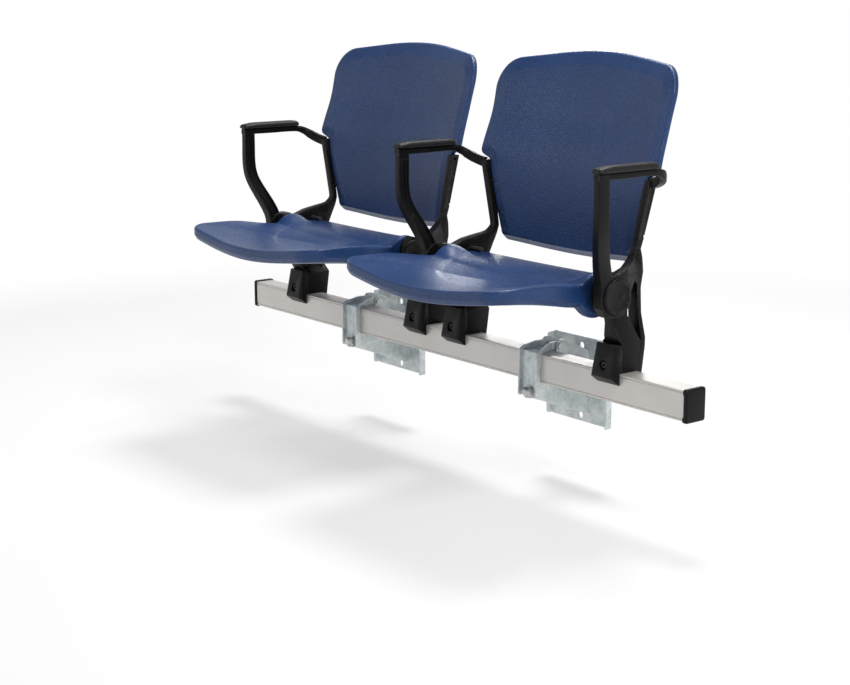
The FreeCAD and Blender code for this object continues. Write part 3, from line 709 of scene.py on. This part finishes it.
def kinked(points, blend):
    """Straight runs through (u, v) points, each kink rounded over a length."""
    u, v = np.array(points, float).T
    shifts = np.linspace(-blend, blend, 9)

    def value(at):
        return np.mean([np.interp(at + shift, u, v) for shift in shifts], axis=0)

    return value


def even_curve(points):
    """Curve through (u, v) points with u of 0 or more, the same on both sides of 0."""
    return cubic_through([(-u, v) for u, v in points[:0:-1]] + points)


# Heights along the seat, from front to rear: at the side and in the middle, above and below
side_top = cubic_through(
    [(-300, 183), (-225, 182.5), (-150, 179), (-60, 165), (20, 164), (64, 165)]
)
middle_line = kinked(
    [
        (SEAT_TAIL, 160),
        (-240, 155),
        (-190, 151.5),
        (-140, 147.6),
        (WALL_FOOT, 146),
        (RIDGE_FRONT, 161.5),
        (-38, 164.2),
        (-10, 165.2),
        (20, 164.6),
        (64, 161.5),
    ],
    2.5,
)
side_low = cubic_through(
    [(-300, 159), (-225, 153), (-150, 142), (-60, 124), (20, 126), (64, 131)]
)
middle_low = cubic_through(
    [(-300, 135), (-225, 125), (-150, 120), (-60, 124), (20, 135), (64, 145)]
)
# Rise from the middle to the side, against the share of the way there
cross_top = even_curve([(0, 0), (0.36, 0.16), (0.72, 0.62), (1, 1.0), (1.3, 1.5)])
cross_low = even_curve([(0, 0), (0.6, 0.45), (1, 1.0), (1.3, 1.3)])


def middle_top(x, y):
    """Height of the dished top: the wall below the rear ridge is wider towards the sides."""
    foot = np.maximum(WALL_FOOT - WALL_SWEEP * (x / WALL_SWEEP_AT) ** 2, WALL_FOOT_LIMIT)
    wall_share = (WALL_FOOT - RIDGE_FRONT) / (foot - RIDGE_FRONT)
    front_share = (SEAT_TAIL - WALL_FOOT) / (SEAT_TAIL - foot)
    on_wall = RIDGE_FRONT + (y - RIDGE_FRONT) * wall_share
    ahead = WALL_FOOT + (y - foot) * front_share
    return middle_line(np.where(y > RIDGE_FRONT, y, np.where(y > foot, on_wall, ahead)))


def soft_max(first, second, blend):
    """The greater of two heights, with a rounded change from one to the other."""
    return (first + second + np.sqrt((first - second) ** 2 + blend * blend)) / 2


def lobe(y, radius):
    """Height of a round ear above the hinge, falling away steeply beside it."""
    away = np.abs(y - HINGE_Y)
    rise = np.sqrt(np.clip(radius ** 2 - away ** 2, 0, None))
    return rise - EAR_FALL * np.clip(away - (radius - EAR_EDGE), 0, None)


def seat_top(x, y):
    """Height of the seat's upper surface: a round dish, a rear ridge, a hump at each hinge."""
    low = middle_top(x, y)
    height = low + (side_top(y) - low) * cross_top(x / SEAT_HALF)
    in_dish = eased(DISH_RADIUS + 3 - np.hypot(x, y), 0, DISH_SLOPE)
    height = height - DISH_DEPTH * in_dish * eased(RIDGE_FRONT - y, 0, DISH_FADE)
    hump = soft_max(height, HINGE_Z + lobe(y, EAR_RISE), EAR_TOP_BLEND) - height
    return height + hump * eased(np.abs(x), *EAR_TOP)


def seat_low(x, y):
    """Height of the seat's underside, with the lower half of each ear."""
    low = middle_low(y)
    height = low + (side_low(y) - low) * cross_low(x / SEAT_HALF)
    hang = soft_max(-height, lobe(y, EAR_RADIUS) - HINGE_Z, EAR_LOW_BLEND) + height
    return height - hang * eased(np.abs(x), *EAR_LOW)


def seat_loop(inset):
    """Plan of the seat at a distance inside its edge."""
    right = [
        (198, SEAT_REAR, 14),
        (213, 20, 12),
        (213, -66, 60),
        (231, -150, 120),
        (232, -280, 50),
    ]
    left = [(-x, y, radius) for x, y, radius in reversed(right)]
    corners = left[::-1] + [(0, SEAT_FRONT, 900)] + right[::-1]
    return evenly(rounded_loop(moved_in(corners, inset)))


def seat_ring(outline, top, drop=0.0):
    """Ring of the seat at a drop below its upper or above its lower surface."""
    x, y = outline.T
    z = seat_top(x, y) - drop if top else seat_low(x, y) + drop
    return np.column_stack([x, y, z])


# Rings over the seat's edge: inset and drop from the top, rings between as shares of the
# way down, then inset and rise from the underside
SEAT_UPPER_RIM = [(8, 0.0), (5.2, 0.15), (3.2, 0.7), (1.7, 1.7), (0.7, 3.0), (0.2, 4.6), (0, 6.5)]
SEAT_SIDE_RINGS = (0.33, 0.67)
SEAT_LOWER_RIM = [(0, 10.0), (0.2, 8.8), (1.0, 7.6), (3.6, 3.2), (5.0, 1.3), (6.8, 0.3), (9, 0.0)]
SEAT_TOP_RINGS = np.linspace(0.03, 0.99, 44)
SEAT_LOW_RINGS = np.linspace(0.985, 0.03, 34)


def make_seat(seat):
    """Seat shell: blow-moulded in one with its ears, which rise and hang from its rim."""
    edge = seat_loop(SEAT_EDGE)
    rings = []
    for outline in towards_middle(edge, SEAT_MIDDLE, SEAT_TOP_RINGS):
        rings.append(seat_ring(outline, True))
    for inset, drop in SEAT_UPPER_RIM:
        rings.append(seat_ring(seat_loop(inset), True, drop))
    upper = rings[-1]
    lower = seat_ring(seat_loop(0), False, SEAT_LOWER_RIM[0][1])
    for share in SEAT_SIDE_RINGS:
        rings.append(upper * (1 - share) + lower * share)
    for inset, rise in SEAT_LOWER_RIM:
        rings.append(seat_ring(seat_loop(inset), False, rise))
    for outline in towards_middle(edge, SEAT_MIDDLE, SEAT_LOW_RINGS):
        rings.append(seat_ring(outline, False))
    ends = [seat_ring(SEAT_MIDDLE[None], top) for top in (True, False)]
    node = seat + "_shell"
    mesh = skin(node + "_moulding", rings, ends, seat)
    piece_from(node + "_moulding", mesh, node)


# Arms: a post and a rail swept along their own lines, and a boss round the hub

HUB_SIDE = 236.15
RAIL_TOP = 371.0
POST_RINGS = 40
RAIL_RINGS = 56
# Middle lines as (x, y, z)
POST_LINE = [
    (247, -47.5, 150),
    (247.5, -48.5, 172),
    (254, -59, 203),
    (266, -73.5, 235),
    (276.5, -84.5, 266),
    (280, -88, 298),
    (280, -88, 330),
    (280, -88, 367),
]
RAIL_LINE = [
    (280, -101.5, 364.5),
    (280, -70, 364.5),
    (280, -20, 364.5),
    (280, 30, 364.5),
    (279.4, 50, 361.8),
    (275.5, 64, 355.5),
    (267, 72, 349),
    (256, 77.5, 343.5),
    (245, 82, 339.5),
    (233.2, 85, 336.5),
]
# Sections as (side, depth, corner radius): the post is open inwards, with a raised band
# along its middle, and the rail has a step along each upper edge
POST_SECTION = [
    (-7, -12.5, 0.9),
    (7, -12.5, 1.1),
    (7.6, 0, 60),
    (7, 12.5, 1.2),
    (-7, 12.5, 0.9),
    (-7, 9.5, 0.8),
    (-3, 8.6, 1.2),
    (-3, 4.4, 1.0),
    (-4.6, 3.4, 0.8),
    (-4.6, -3.4, 0.8),
    (-3, -4.4, 1.0),
    (-3, -8.6, 1.2),
    (-7, -9.5, 0.8),
]
RAIL_SECTION = [
    (-7, -6.5, 1.6),
    (7, -6.5, 2.2),
    (7, 3.2, 1.2),
    (5.8, 4.2, 0.8),
    (5.8, 6.5, 0.8),
    (-5.8, 6.5, 0.8),
    (-5.8, 4.2, 0.8),
    (-7, 3.2, 1.2),
]
# Size of a section along its line: shares of the line, then multiples
POST_SIDE = ([0, 0.12, 0.5, 1], [1.5, 1.5, 1.1, 1.0])
POST_DEPTH = ([0, 0.1, 0.4, 1], [1.12, 1.12, 1.04, 1.0])
RAIL_SIDE = ([0, 1], [1.0, 1.0])
RAIL_DEPTH = ([0, 0.66, 0.8, 1], [1.0, 1.0, 1.35, 1.45])
# Outline of the boss over the hub as (y, z, radius), then its rim's inset and rise
BOSS = [
    (-61.5, 166, 3),
    (-61.5, 127, 4),
    (-46, 109, 9),
    (-12, 106.5, 24),
    (12, 127, 24),
    (12, 163, 24),
    (-10, 183.5, 24),
    (-44, 182, 16),
]
BOSS_RIM = [(0.8, 0.0), (0.0, 0.8), (0.0, 20.0), (0.25, 21.0), (1.0, 21.6), (2.4, 21.85)]


def line_through(points, count):
    """Evenly spaced places and directions on a smooth line through points."""
    points = np.array(points, float)
    steps = np.linalg.norm(np.diff(points, axis=0), axis=1)
    along = np.concatenate([[0.0], np.cumsum(steps)])
    at = np.linspace(0, along[-1], count)
    curves = [cubic_through(np.column_stack([along, values])) for values in points.T]
    places = np.column_stack([curve(at) for curve in curves])
    ways = np.gradient(places, axis=0)
    return places, ways / np.linalg.norm(ways, axis=1)[:, None]


def swept(line, count, section, upright, side_size, depth_size):
    """Rings of a section along a line, whose size changes from its start to its end."""
    places, ways = line_through(line, count)
    outline = rounded_loop(section, arc_steps=3, side_steps=2)
    guide = np.array(upright, float)
    rings = []
    for k in range(count):
        share = k / (count - 1)
        depth = guide - (guide @ ways[k]) * ways[k]
        depth /= np.linalg.norm(depth)
        side = np.cross(depth, ways[k]) if upright[1] else np.cross(ways[k], depth)
        u = outline[:, :1] * np.interp(share, *side_size)
        v = outline[:, 1:] * np.interp(share, *depth_size)
        rings.append(places[k] + side * u + depth * v)
    return rings, [places[0], places[-1]]


def hub_boss():
    """Rings of the boss over the hub: round behind, straight-edged towards the front."""
    rings = []
    for inset, rise in BOSS_RIM:
        loop = rounded_loop(moved_in(BOSS, inset), arc_steps=8, side_steps=4)
        rings.append(np.column_stack([np.full(len(loop), HUB_SIDE + rise), loop]))
    ends = [(HUB_SIDE + rise, HINGE_Y, HINGE_Z) for rise in (0.0, BOSS_RIM[-1][1])]
    return rings, ends


def make_arm(node):
    """Arm in one moulding: boss, post and rail united."""
    parts = [
        hub_boss(),
        swept(POST_LINE, POST_RINGS, POST_SECTION, (0, 1, 0), POST_SIDE, POST_DEPTH),
        swept(RAIL_LINE, RAIL_RINGS, RAIL_SECTION, (0, 0, 1), RAIL_SIDE, RAIL_DEPTH),
    ]
    boss, *others = [
        new_object(node + "_work", skin(node + "_work", rings, ends, *ARMS[node]))
        for rings, ends in parts
    ]
    for other in others:
        union = boss.modifiers.new("union", "BOOLEAN")
        union.operation = "UNION"
        union.solver = "EXACT"
        union.object = other
    mesh = evaluated_mesh(boss, node + "_moulding")
    for other in others:
        bpy.data.objects.remove(other)
    smooth_by_angle(mesh, degrees=34)
    piece_from(node + "_moulding", mesh, node)


PAD_FRONT = -105.0
PAD_REAR = 43.0
PAD_X = 280.0
PAD_HALF = 14.0
PAD_HIGH = 12.0
# Inset and height above the rail
PAD_RIM = [
    (2.4, 0.3),
    (1.0, 0.6),
    (0.2, 1.6),
    (0.0, 3.0),
    (0.2, 5.0),
    (0.9, 7.2),
    (2.2, 9.2),
    (4.2, 10.7),
    (6.8, 11.6),
    (9.6, 12.0),
    (11.5, 12.1),
    (13.2, 12.15),
]
# Length and depth of the fall towards each end of a pad
NOSE_FALL = (34, 3.2)
TAIL_FALL = (22, 1.6)


def make_pad(node):
    """Arm pad: a soft-edged crowned bar that dips at its ends and stands on a thin lip."""
    near = PAD_X - PAD_HALF
    far = PAD_X + PAD_HALF
    plan = [(near, PAD_FRONT, 9), (far, PAD_FRONT, 9), (far, PAD_REAR, 10), (near, PAD_REAR, 10)]
    nose_long, nose_deep = NOSE_FALL
    tail_long, tail_deep = TAIL_FALL
    rings = []
    for inset, rise in PAD_RIM:
        loop = rounded_loop(moved_in(plan, inset), arc_steps=8, side_steps=16)
        y = loop[:, 1]
        fall = nose_deep * eased(PAD_FRONT + nose_long - y, 0, nose_long)
        fall += tail_deep * eased(y - PAD_REAR + tail_long, 0, tail_long)
        rings.append(np.column_stack([loop, RAIL_TOP + rise - fall * rise / PAD_HIGH]))
    middle_y = (PAD_FRONT + PAD_REAR) / 2
    ends = [(PAD_X, middle_y, RAIL_TOP + rise) for inset, rise in (PAD_RIM[0], PAD_RIM[-1])]
    mesh = skin(node + "_moulding", rings, ends, *ARMS[node.replace("_pad", "")])
    smooth_by_angle(mesh, degrees=40)
    piece_from(node + "_moulding", mesh, node)


# Screws, set by one tree of Geometry Nodes on points that carry the way each one faces

SCREW_SIZES = (
    "Head Radius",
    "Head Height",
    "Head Chamfer",
    "Socket Radius",
    "Socket Depth",
    "Shank Radius",
    "Shank Length",
)
JAW_SCREW = (6.6, 4.6, 0.9, 3.4, 3.4, 5.0, 37.0)
BACK_SCREW = (5.0, 3.2, 0.8, 2.0, 1.6, 3.0, 17.0)
# Underside of the head of a jaw's screw on the right
JAW_HEAD = (217.5, -8.1, 14.0)
# Right upright's outer face: its foot, the way up it and the way out of it
UPRIGHT_FOOT = np.array([204.0, 85.0, 214.0])
UPRIGHT_WAY = np.array([30.0, 0.0, 129.0]) / math.hypot(30.0, 129.0)
UPRIGHT_FACE = np.array([UPRIGHT_WAY[2], 0.0, -UPRIGHT_WAY[0]])
BACK_SCREWS_UP = (24.0, 84.0)
BACK_SCREW_SUNK = 4.0
HEAD_SIDES = 40
SHANK_SIDES = 24
SOCKET_SIDES = 6
SHANK_IN_HEAD = 0.3  # share of the head's height


def make_screw_tree():
    """Tree that stands a socket-head screw on each point, the underside of its head there."""
    tree = bpy.data.node_groups.new("screws_on_points", "GeometryNodeTree")
    sockets = [("Points", "Geometry"), *((label, "Float") for label in SCREW_SIZES)]
    for label, kind in [*sockets, ("Finish", "Material")]:
        tree.interface.new_socket(label, in_out="INPUT", socket_type="NodeSocket" + kind)
    tree.interface.new_socket("Screws", in_out="OUTPUT", socket_type="NodeSocketGeometry")
    given = tree.nodes.new("NodeGroupInput").outputs
    end = tree.nodes.new("NodeGroupOutput")

    def lifted(solid, height):
        """A solid moved up the screw's axis."""
        offset = add(tree, "ShaderNodeCombineXYZ", {"Z": height}).outputs["Vector"]
        inputs = {"Geometry": solid.outputs["Mesh"], "Translation": offset}
        return add(tree, "GeometryNodeTransform", inputs).outputs["Geometry"]

    def drum(radius, height, foot, sides):
        """Drum on the screw's axis, from a foot upwards."""
        inputs = {"Vertices": sides, "Radius": radius, "Depth": height}
        middle = math_node(tree, "ADD", math_node(tree, "MULTIPLY", height, 0.5), foot)
        return lifted(add(tree, "GeometryNodeMeshCylinder", inputs), middle)

    radius, height = given["Head Radius"], given["Head Height"]
    chamfer, depth = given["Head Chamfer"], given["Socket Depth"]
    shank_long = given["Shank Length"]
    side_high = math_node(tree, "SUBTRACT", height, chamfer)
    crown = {"Vertices": HEAD_SIDES, "Depth": chamfer, "Radius Bottom": radius}
    crown["Radius Top"] = math_node(tree, "SUBTRACT", radius, chamfer)
    in_head = math_node(tree, "MULTIPLY", height, SHANK_IN_HEAD)
    solids = (
        drum(radius, side_high, 0.0, HEAD_SIDES),
        lifted(add(tree, "GeometryNodeMeshCone", crown), side_high),
        drum(
            given["Shank Radius"],
            math_node(tree, "ADD", shank_long, in_head),
            math_node(tree, "MULTIPLY", shank_long, -1.0),
            SHANK_SIDES,
        ),
    )
    hollow = drum(
        given["Socket Radius"],
        math_node(tree, "MULTIPLY", depth, 2.0),
        math_node(tree, "SUBTRACT", height, depth),
        SOCKET_SIDES,
    )
    body = add(tree, "GeometryNodeMeshBoolean", operation="UNION", solver="EXACT")
    for solid in solids:
        tree.links.new(solid, body.inputs["Mesh 2"])
    inputs = {"Mesh 1": body.outputs["Mesh"], "Mesh 2": hollow}
    cut = add(tree, "GeometryNodeMeshBoolean", inputs, operation="DIFFERENCE", solver="EXACT")
    facing = add(
        tree, "GeometryNodeInputNamedAttribute", {"Name": "facing"}, data_type="FLOAT_VECTOR"
    )
    inputs = {"Vector": facing.outputs["Attribute"]}
    turn = add(tree, "FunctionNodeAlignRotationToVector", inputs, axis="Z")
    inputs = {"Points": given["Points"], "Instance": cut.outputs["Mesh"]}
    inputs["Rotation"] = turn.outputs["Rotation"]
    stand = add(tree, "GeometryNodeInstanceOnPoints", inputs)
    inputs = {"Geometry": stand.outputs["Instances"]}
    real = add(tree, "GeometryNodeRealizeInstances", inputs)
    inputs = {"Geometry": real.outputs["Geometry"], "Material": given["Finish"]}
    finish = add(tree, "GeometryNodeSetMaterial", inputs)
    tree.links.new(finish.outputs["Geometry"], end.inputs["Screws"])
    return tree


def make_screws(node, places, sizes, tree):
    """Screws at (seat, place, facing) of a node, as one mesh."""
    points = [tuple(at_beam(place, seat)[0]) for seat, place, facing in places]
    mesh = bpy.data.meshes.new(node + "_points")
    mesh.from_pydata(points, [], [])
    facings = mesh.attributes.new("facing", "FLOAT_VECTOR", "POINT")
    for entry, (seat, place, facing) in zip(facings.data, places):
        entry.vector = facing
    holder = new_object(node + "_points", mesh)
    modifier = holder.modifiers.new("screws", "NODES")
    modifier.node_group = tree
    sockets = [item for item in tree.interface.items_tree if item.in_out == "INPUT"]
    identifiers = {item.name: item.identifier for item in sockets}
    for label, size in zip(SCREW_SIZES, sizes):
        modifier[identifiers[label]] = size * MM
    modifier[identifiers["Finish"]] = MATERIALS[SLOT_OF[node]]
    finished = evaluated_mesh(holder, node + "_turned")
    smooth_by_angle(finished, degrees=30)
    piece_from(node + "_turned", finished, node)


def jaw_places():
    """Underside of each jaw screw's head, facing the front."""
    x, y, z = JAW_HEAD
    return [(seat, (side * x, y, z), (0, -1, 0)) for seat in SEATS for side in (-1, 1)]


def back_places():
    """Underside of each back screw's head, on the leaning upright's outer face."""
    places = []
    for seat in SEATS:
        for side in (-1, 1):
            facing = UPRIGHT_FACE * (side, 1, 1)
            for along in BACK_SCREWS_UP:
                place = (UPRIGHT_FOOT + UPRIGHT_WAY * along) * (side, 1, 1)
                places.append((seat, place - facing * BACK_SCREW_SUNK, tuple(facing)))
    return places


# Reshaping of carried-over nodes, on their y and z in millimetres from the beam's edge

NOSE_LEFT = 0.55  # share of a hub's nose that is left in front of the hinge
BULGE_Y = 78.0  # where the bulge behind a strut begins, its depth, height and half length
BULGE_DEPTH = 3.0
BULGE_Z = 194.0
BULGE_HALF = 34.0
CAP_SHARE = (0.89, 0.91)  # along y and z
CAP_SHIFT = 1.0


def reshaped(change):
    """Function that moves one vertex in the frame by a change made in millimetres."""
    def move(place):
        y = (place.y - BEAM_FRONT) / MM
        z = (place.z - BEAM_TOP) / MM
        y, z = change(y, z)
        return Vector((place.x, BEAM_FRONT + y * MM, BEAM_TOP + z * MM))

    return move


def blunt_nose(y, z):
    """Hub of a standard drawn in at the front, and the bulge behind its strut taken off."""
    if y < HINGE_Y:
        y = HINGE_Y + (y - HINGE_Y) * NOSE_LEFT
    if y > BULGE_Y:
        y -= BULGE_DEPTH * max(0.0, 1 - abs(z - BULGE_Z) / BULGE_HALF)
    return y, z


def smaller_cap(y, z):
    """Hub cap a little smaller than its boss."""
    y = HINGE_Y + CAP_SHIFT + (y - HINGE_Y) * CAP_SHARE[0]
    return y, HINGE_Z + (z - HINGE_Z) * CAP_SHARE[1]


for seat in SEATS:
    make_back(seat)
    make_seat(seat)
for arm in ARMS:
    make_arm(arm)
    make_pad(arm + "_pad")
screw_tree = make_screw_tree()
make_screws("jaw_screws", jaw_places(), JAW_SCREW, screw_tree)
make_screws("back_screws", back_places(), BACK_SCREW, screw_tree)

# Carried-over nodes take their finish; the moulded and pressed ones that aren't made anew
# get rounded edges, with a radius in millimetres for each slot
ROUNDED = {"black_nylon": 1.0, "black_cap": 0.8, "zinc_steel": 0.5}
RESHAPED = {"standard": reshaped(blunt_nose), "hub_cap": reshaped(smaller_cap)}
for node, piece in frame["nodes"].items():
    dress(piece, SLOT_OF[node])
    if SLOT_OF[node] in ROUNDED and node not in ARMS:
        changes = [change for start, change in RESHAPED.items() if node.startswith(start)]
        softened(node, ROUNDED[SLOT_OF[node]], *changes)


# Stage, light and camera

FLOOR_Z = cad_low.z - 0.12
FLOOR_HALF = 12.0
FLOOR_FADE = (1.1, 2.6)  # distances between which the floor turns white
FLOOR_GLOW = 0.55  # share of white that the camera sees on it everywhere
WORLD_LIGHT = 0.30
LAMPS_FACE = (0, -0.1, 0.2)
# Place, size, power
LAMPS = {
    "key": ((2.2, -0.6, 2.3), 0.8, 46),
    "top": ((-0.4, 0.8, 2.7), 0.8, 60),
    "left_fill": ((-1.6, -2.8, 1.4), 1.4, 10),
    "rear": ((-2.0, 2.1, 1.3), 0.6, 10),
}
PHOTO_WIDTH = 850
PHOTO_FOCAL = 1677.0  # in the photograph's pixels
SENSOR = 36.0
CAMERA_PLACE = (2.611, -2.221, 0.767)
CAMERA_AZIMUTH = math.radians(51.78)
CAMERA_ELEVATION = math.radians(12.22)


def brightest(tree, *values):
    """The greatest of several sockets or numbers."""
    first, *others = values
    for value in others:
        first = math_node(tree, "MAXIMUM", first, value)
    return first


def mixed_shader(tree, share, first, second, output):
    """Two shaders mixed by a share, as a tree's output."""
    mix = add(tree, "ShaderNodeMixShader", {"Fac": share, 1: first, 2: second})
    tree.links.new(mix.outputs["Shader"], tree.nodes[output].inputs["Surface"])


def make_floor():
    """Pale floor that keeps the shadow and fades to white for the camera."""
    mesh = bpy.data.meshes.new("floor")
    ways = ((-1, -1), (1, -1), (1, 1), (-1, 1))
    corners = [(x * FLOOR_HALF, y * FLOOR_HALF, FLOOR_Z) for x, y in ways]
    mesh.from_pydata(corners, [], [(0, 1, 2, 3)])
    floor = new_object("floor", mesh)
    material, tree, shader = new_material("pale_floor")
    shader["Base Color"].default_value = (0.93, 0.93, 0.93, 1.0)
    shader["Roughness"].default_value = 0.9
    glow = add(tree, "ShaderNodeEmission", {"Color": (1, 1, 1, 1), "Strength": 1.0})
    place = add(tree, "ShaderNodeTexCoord").outputs["Object"]
    distance = add(tree, "ShaderNodeVectorMath", {0: place}, operation="LENGTH")
    far = map_range(tree, distance.outputs["Value"], *FLOOR_FADE)
    path = add(tree, "ShaderNodeLightPath").outputs
    rays = ("Is Camera Ray", "Is Glossy Ray", "Is Transmission Ray")
    seen = brightest(tree, *(path[ray] for ray in rays))
    share = math_node(tree, "MULTIPLY", brightest(tree, far, FLOOR_GLOW), seen)
    plain = tree.nodes["Principled BSDF"].outputs["BSDF"]
    mixed_shader(tree, share, plain, glow.outputs["Emission"], "Material Output")
    mesh.materials.append(material)


def make_world():
    """White to the camera, a low white horizon to reflections, and softer as a light."""
    world = bpy.data.worlds.new("soft_white")
    world.use_nodes = True
    tree = world.node_tree
    light = tree.nodes["Background"]
    light.inputs["Color"].default_value = (1.0, 1.0, 1.0, 1.0)
    light.inputs["Strength"].default_value = WORLD_LIGHT
    white = add(tree, "ShaderNodeBackground", {"Color": (1, 1, 1, 1), "Strength": 1.0})
    path = add(tree, "ShaderNodeLightPath").outputs
    way = add(tree, "ShaderNodeTexCoord").outputs["Generated"]
    height = add(tree, "ShaderNodeSeparateXYZ", {0: way}).outputs["Z"]
    horizon = map_range(tree, height, low=0.20, high=0.55, new_low=0.8, new_high=0.0)
    glossy = math_node(tree, "MULTIPLY", path["Is Glossy Ray"], horizon)
    share = brightest(tree, path["Is Camera Ray"], path["Is Transmission Ray"], glossy)
    sky = light.outputs["Background"]
    mixed_shader(tree, share, sky, white.outputs["Background"], "World Output")
    bpy.context.scene.world = world


def add_lamp(name, place, size, power):
    """Square soft lamp that faces the seats."""
    data = bpy.data.lights.new(name, "AREA")
    data.shape = "SQUARE"
    data.size = size
    data.energy = power
    lamp = new_object(name, data)
    lamp.location = place
    way = Vector(LAMPS_FACE) - Vector(place)
    lamp.rotation_euler = way.to_track_quat("-Z", "Y").to_euler()


def make_camera():
    """Camera at the photograph's viewing angle and distance."""
    data = bpy.data.cameras.new("camera")
    data.sensor_width = SENSOR
    data.lens = PHOTO_FOCAL / PHOTO_WIDTH * SENSOR
    data.clip_start = 0.05
    data.clip_end = 60
    camera = new_object("camera", data)
    level = math.cos(CAMERA_ELEVATION)
    across = -math.sin(CAMERA_AZIMUTH) * level
    ahead = Vector((across, math.cos(CAMERA_AZIMUTH) * level, -math.sin(CAMERA_ELEVATION)))
    camera.location = CAMERA_PLACE
    camera.rotation_euler = ahead.to_track_quat("-Z", "Y").to_euler()
    bpy.context.scene.camera = camera


make_floor()
make_world()
make_camera()
for name, (place, size, power) in LAMPS.items():
    add_lamp(name, place, size, power)
bpy.context.scene.view_settings.view_transform = "Standard"
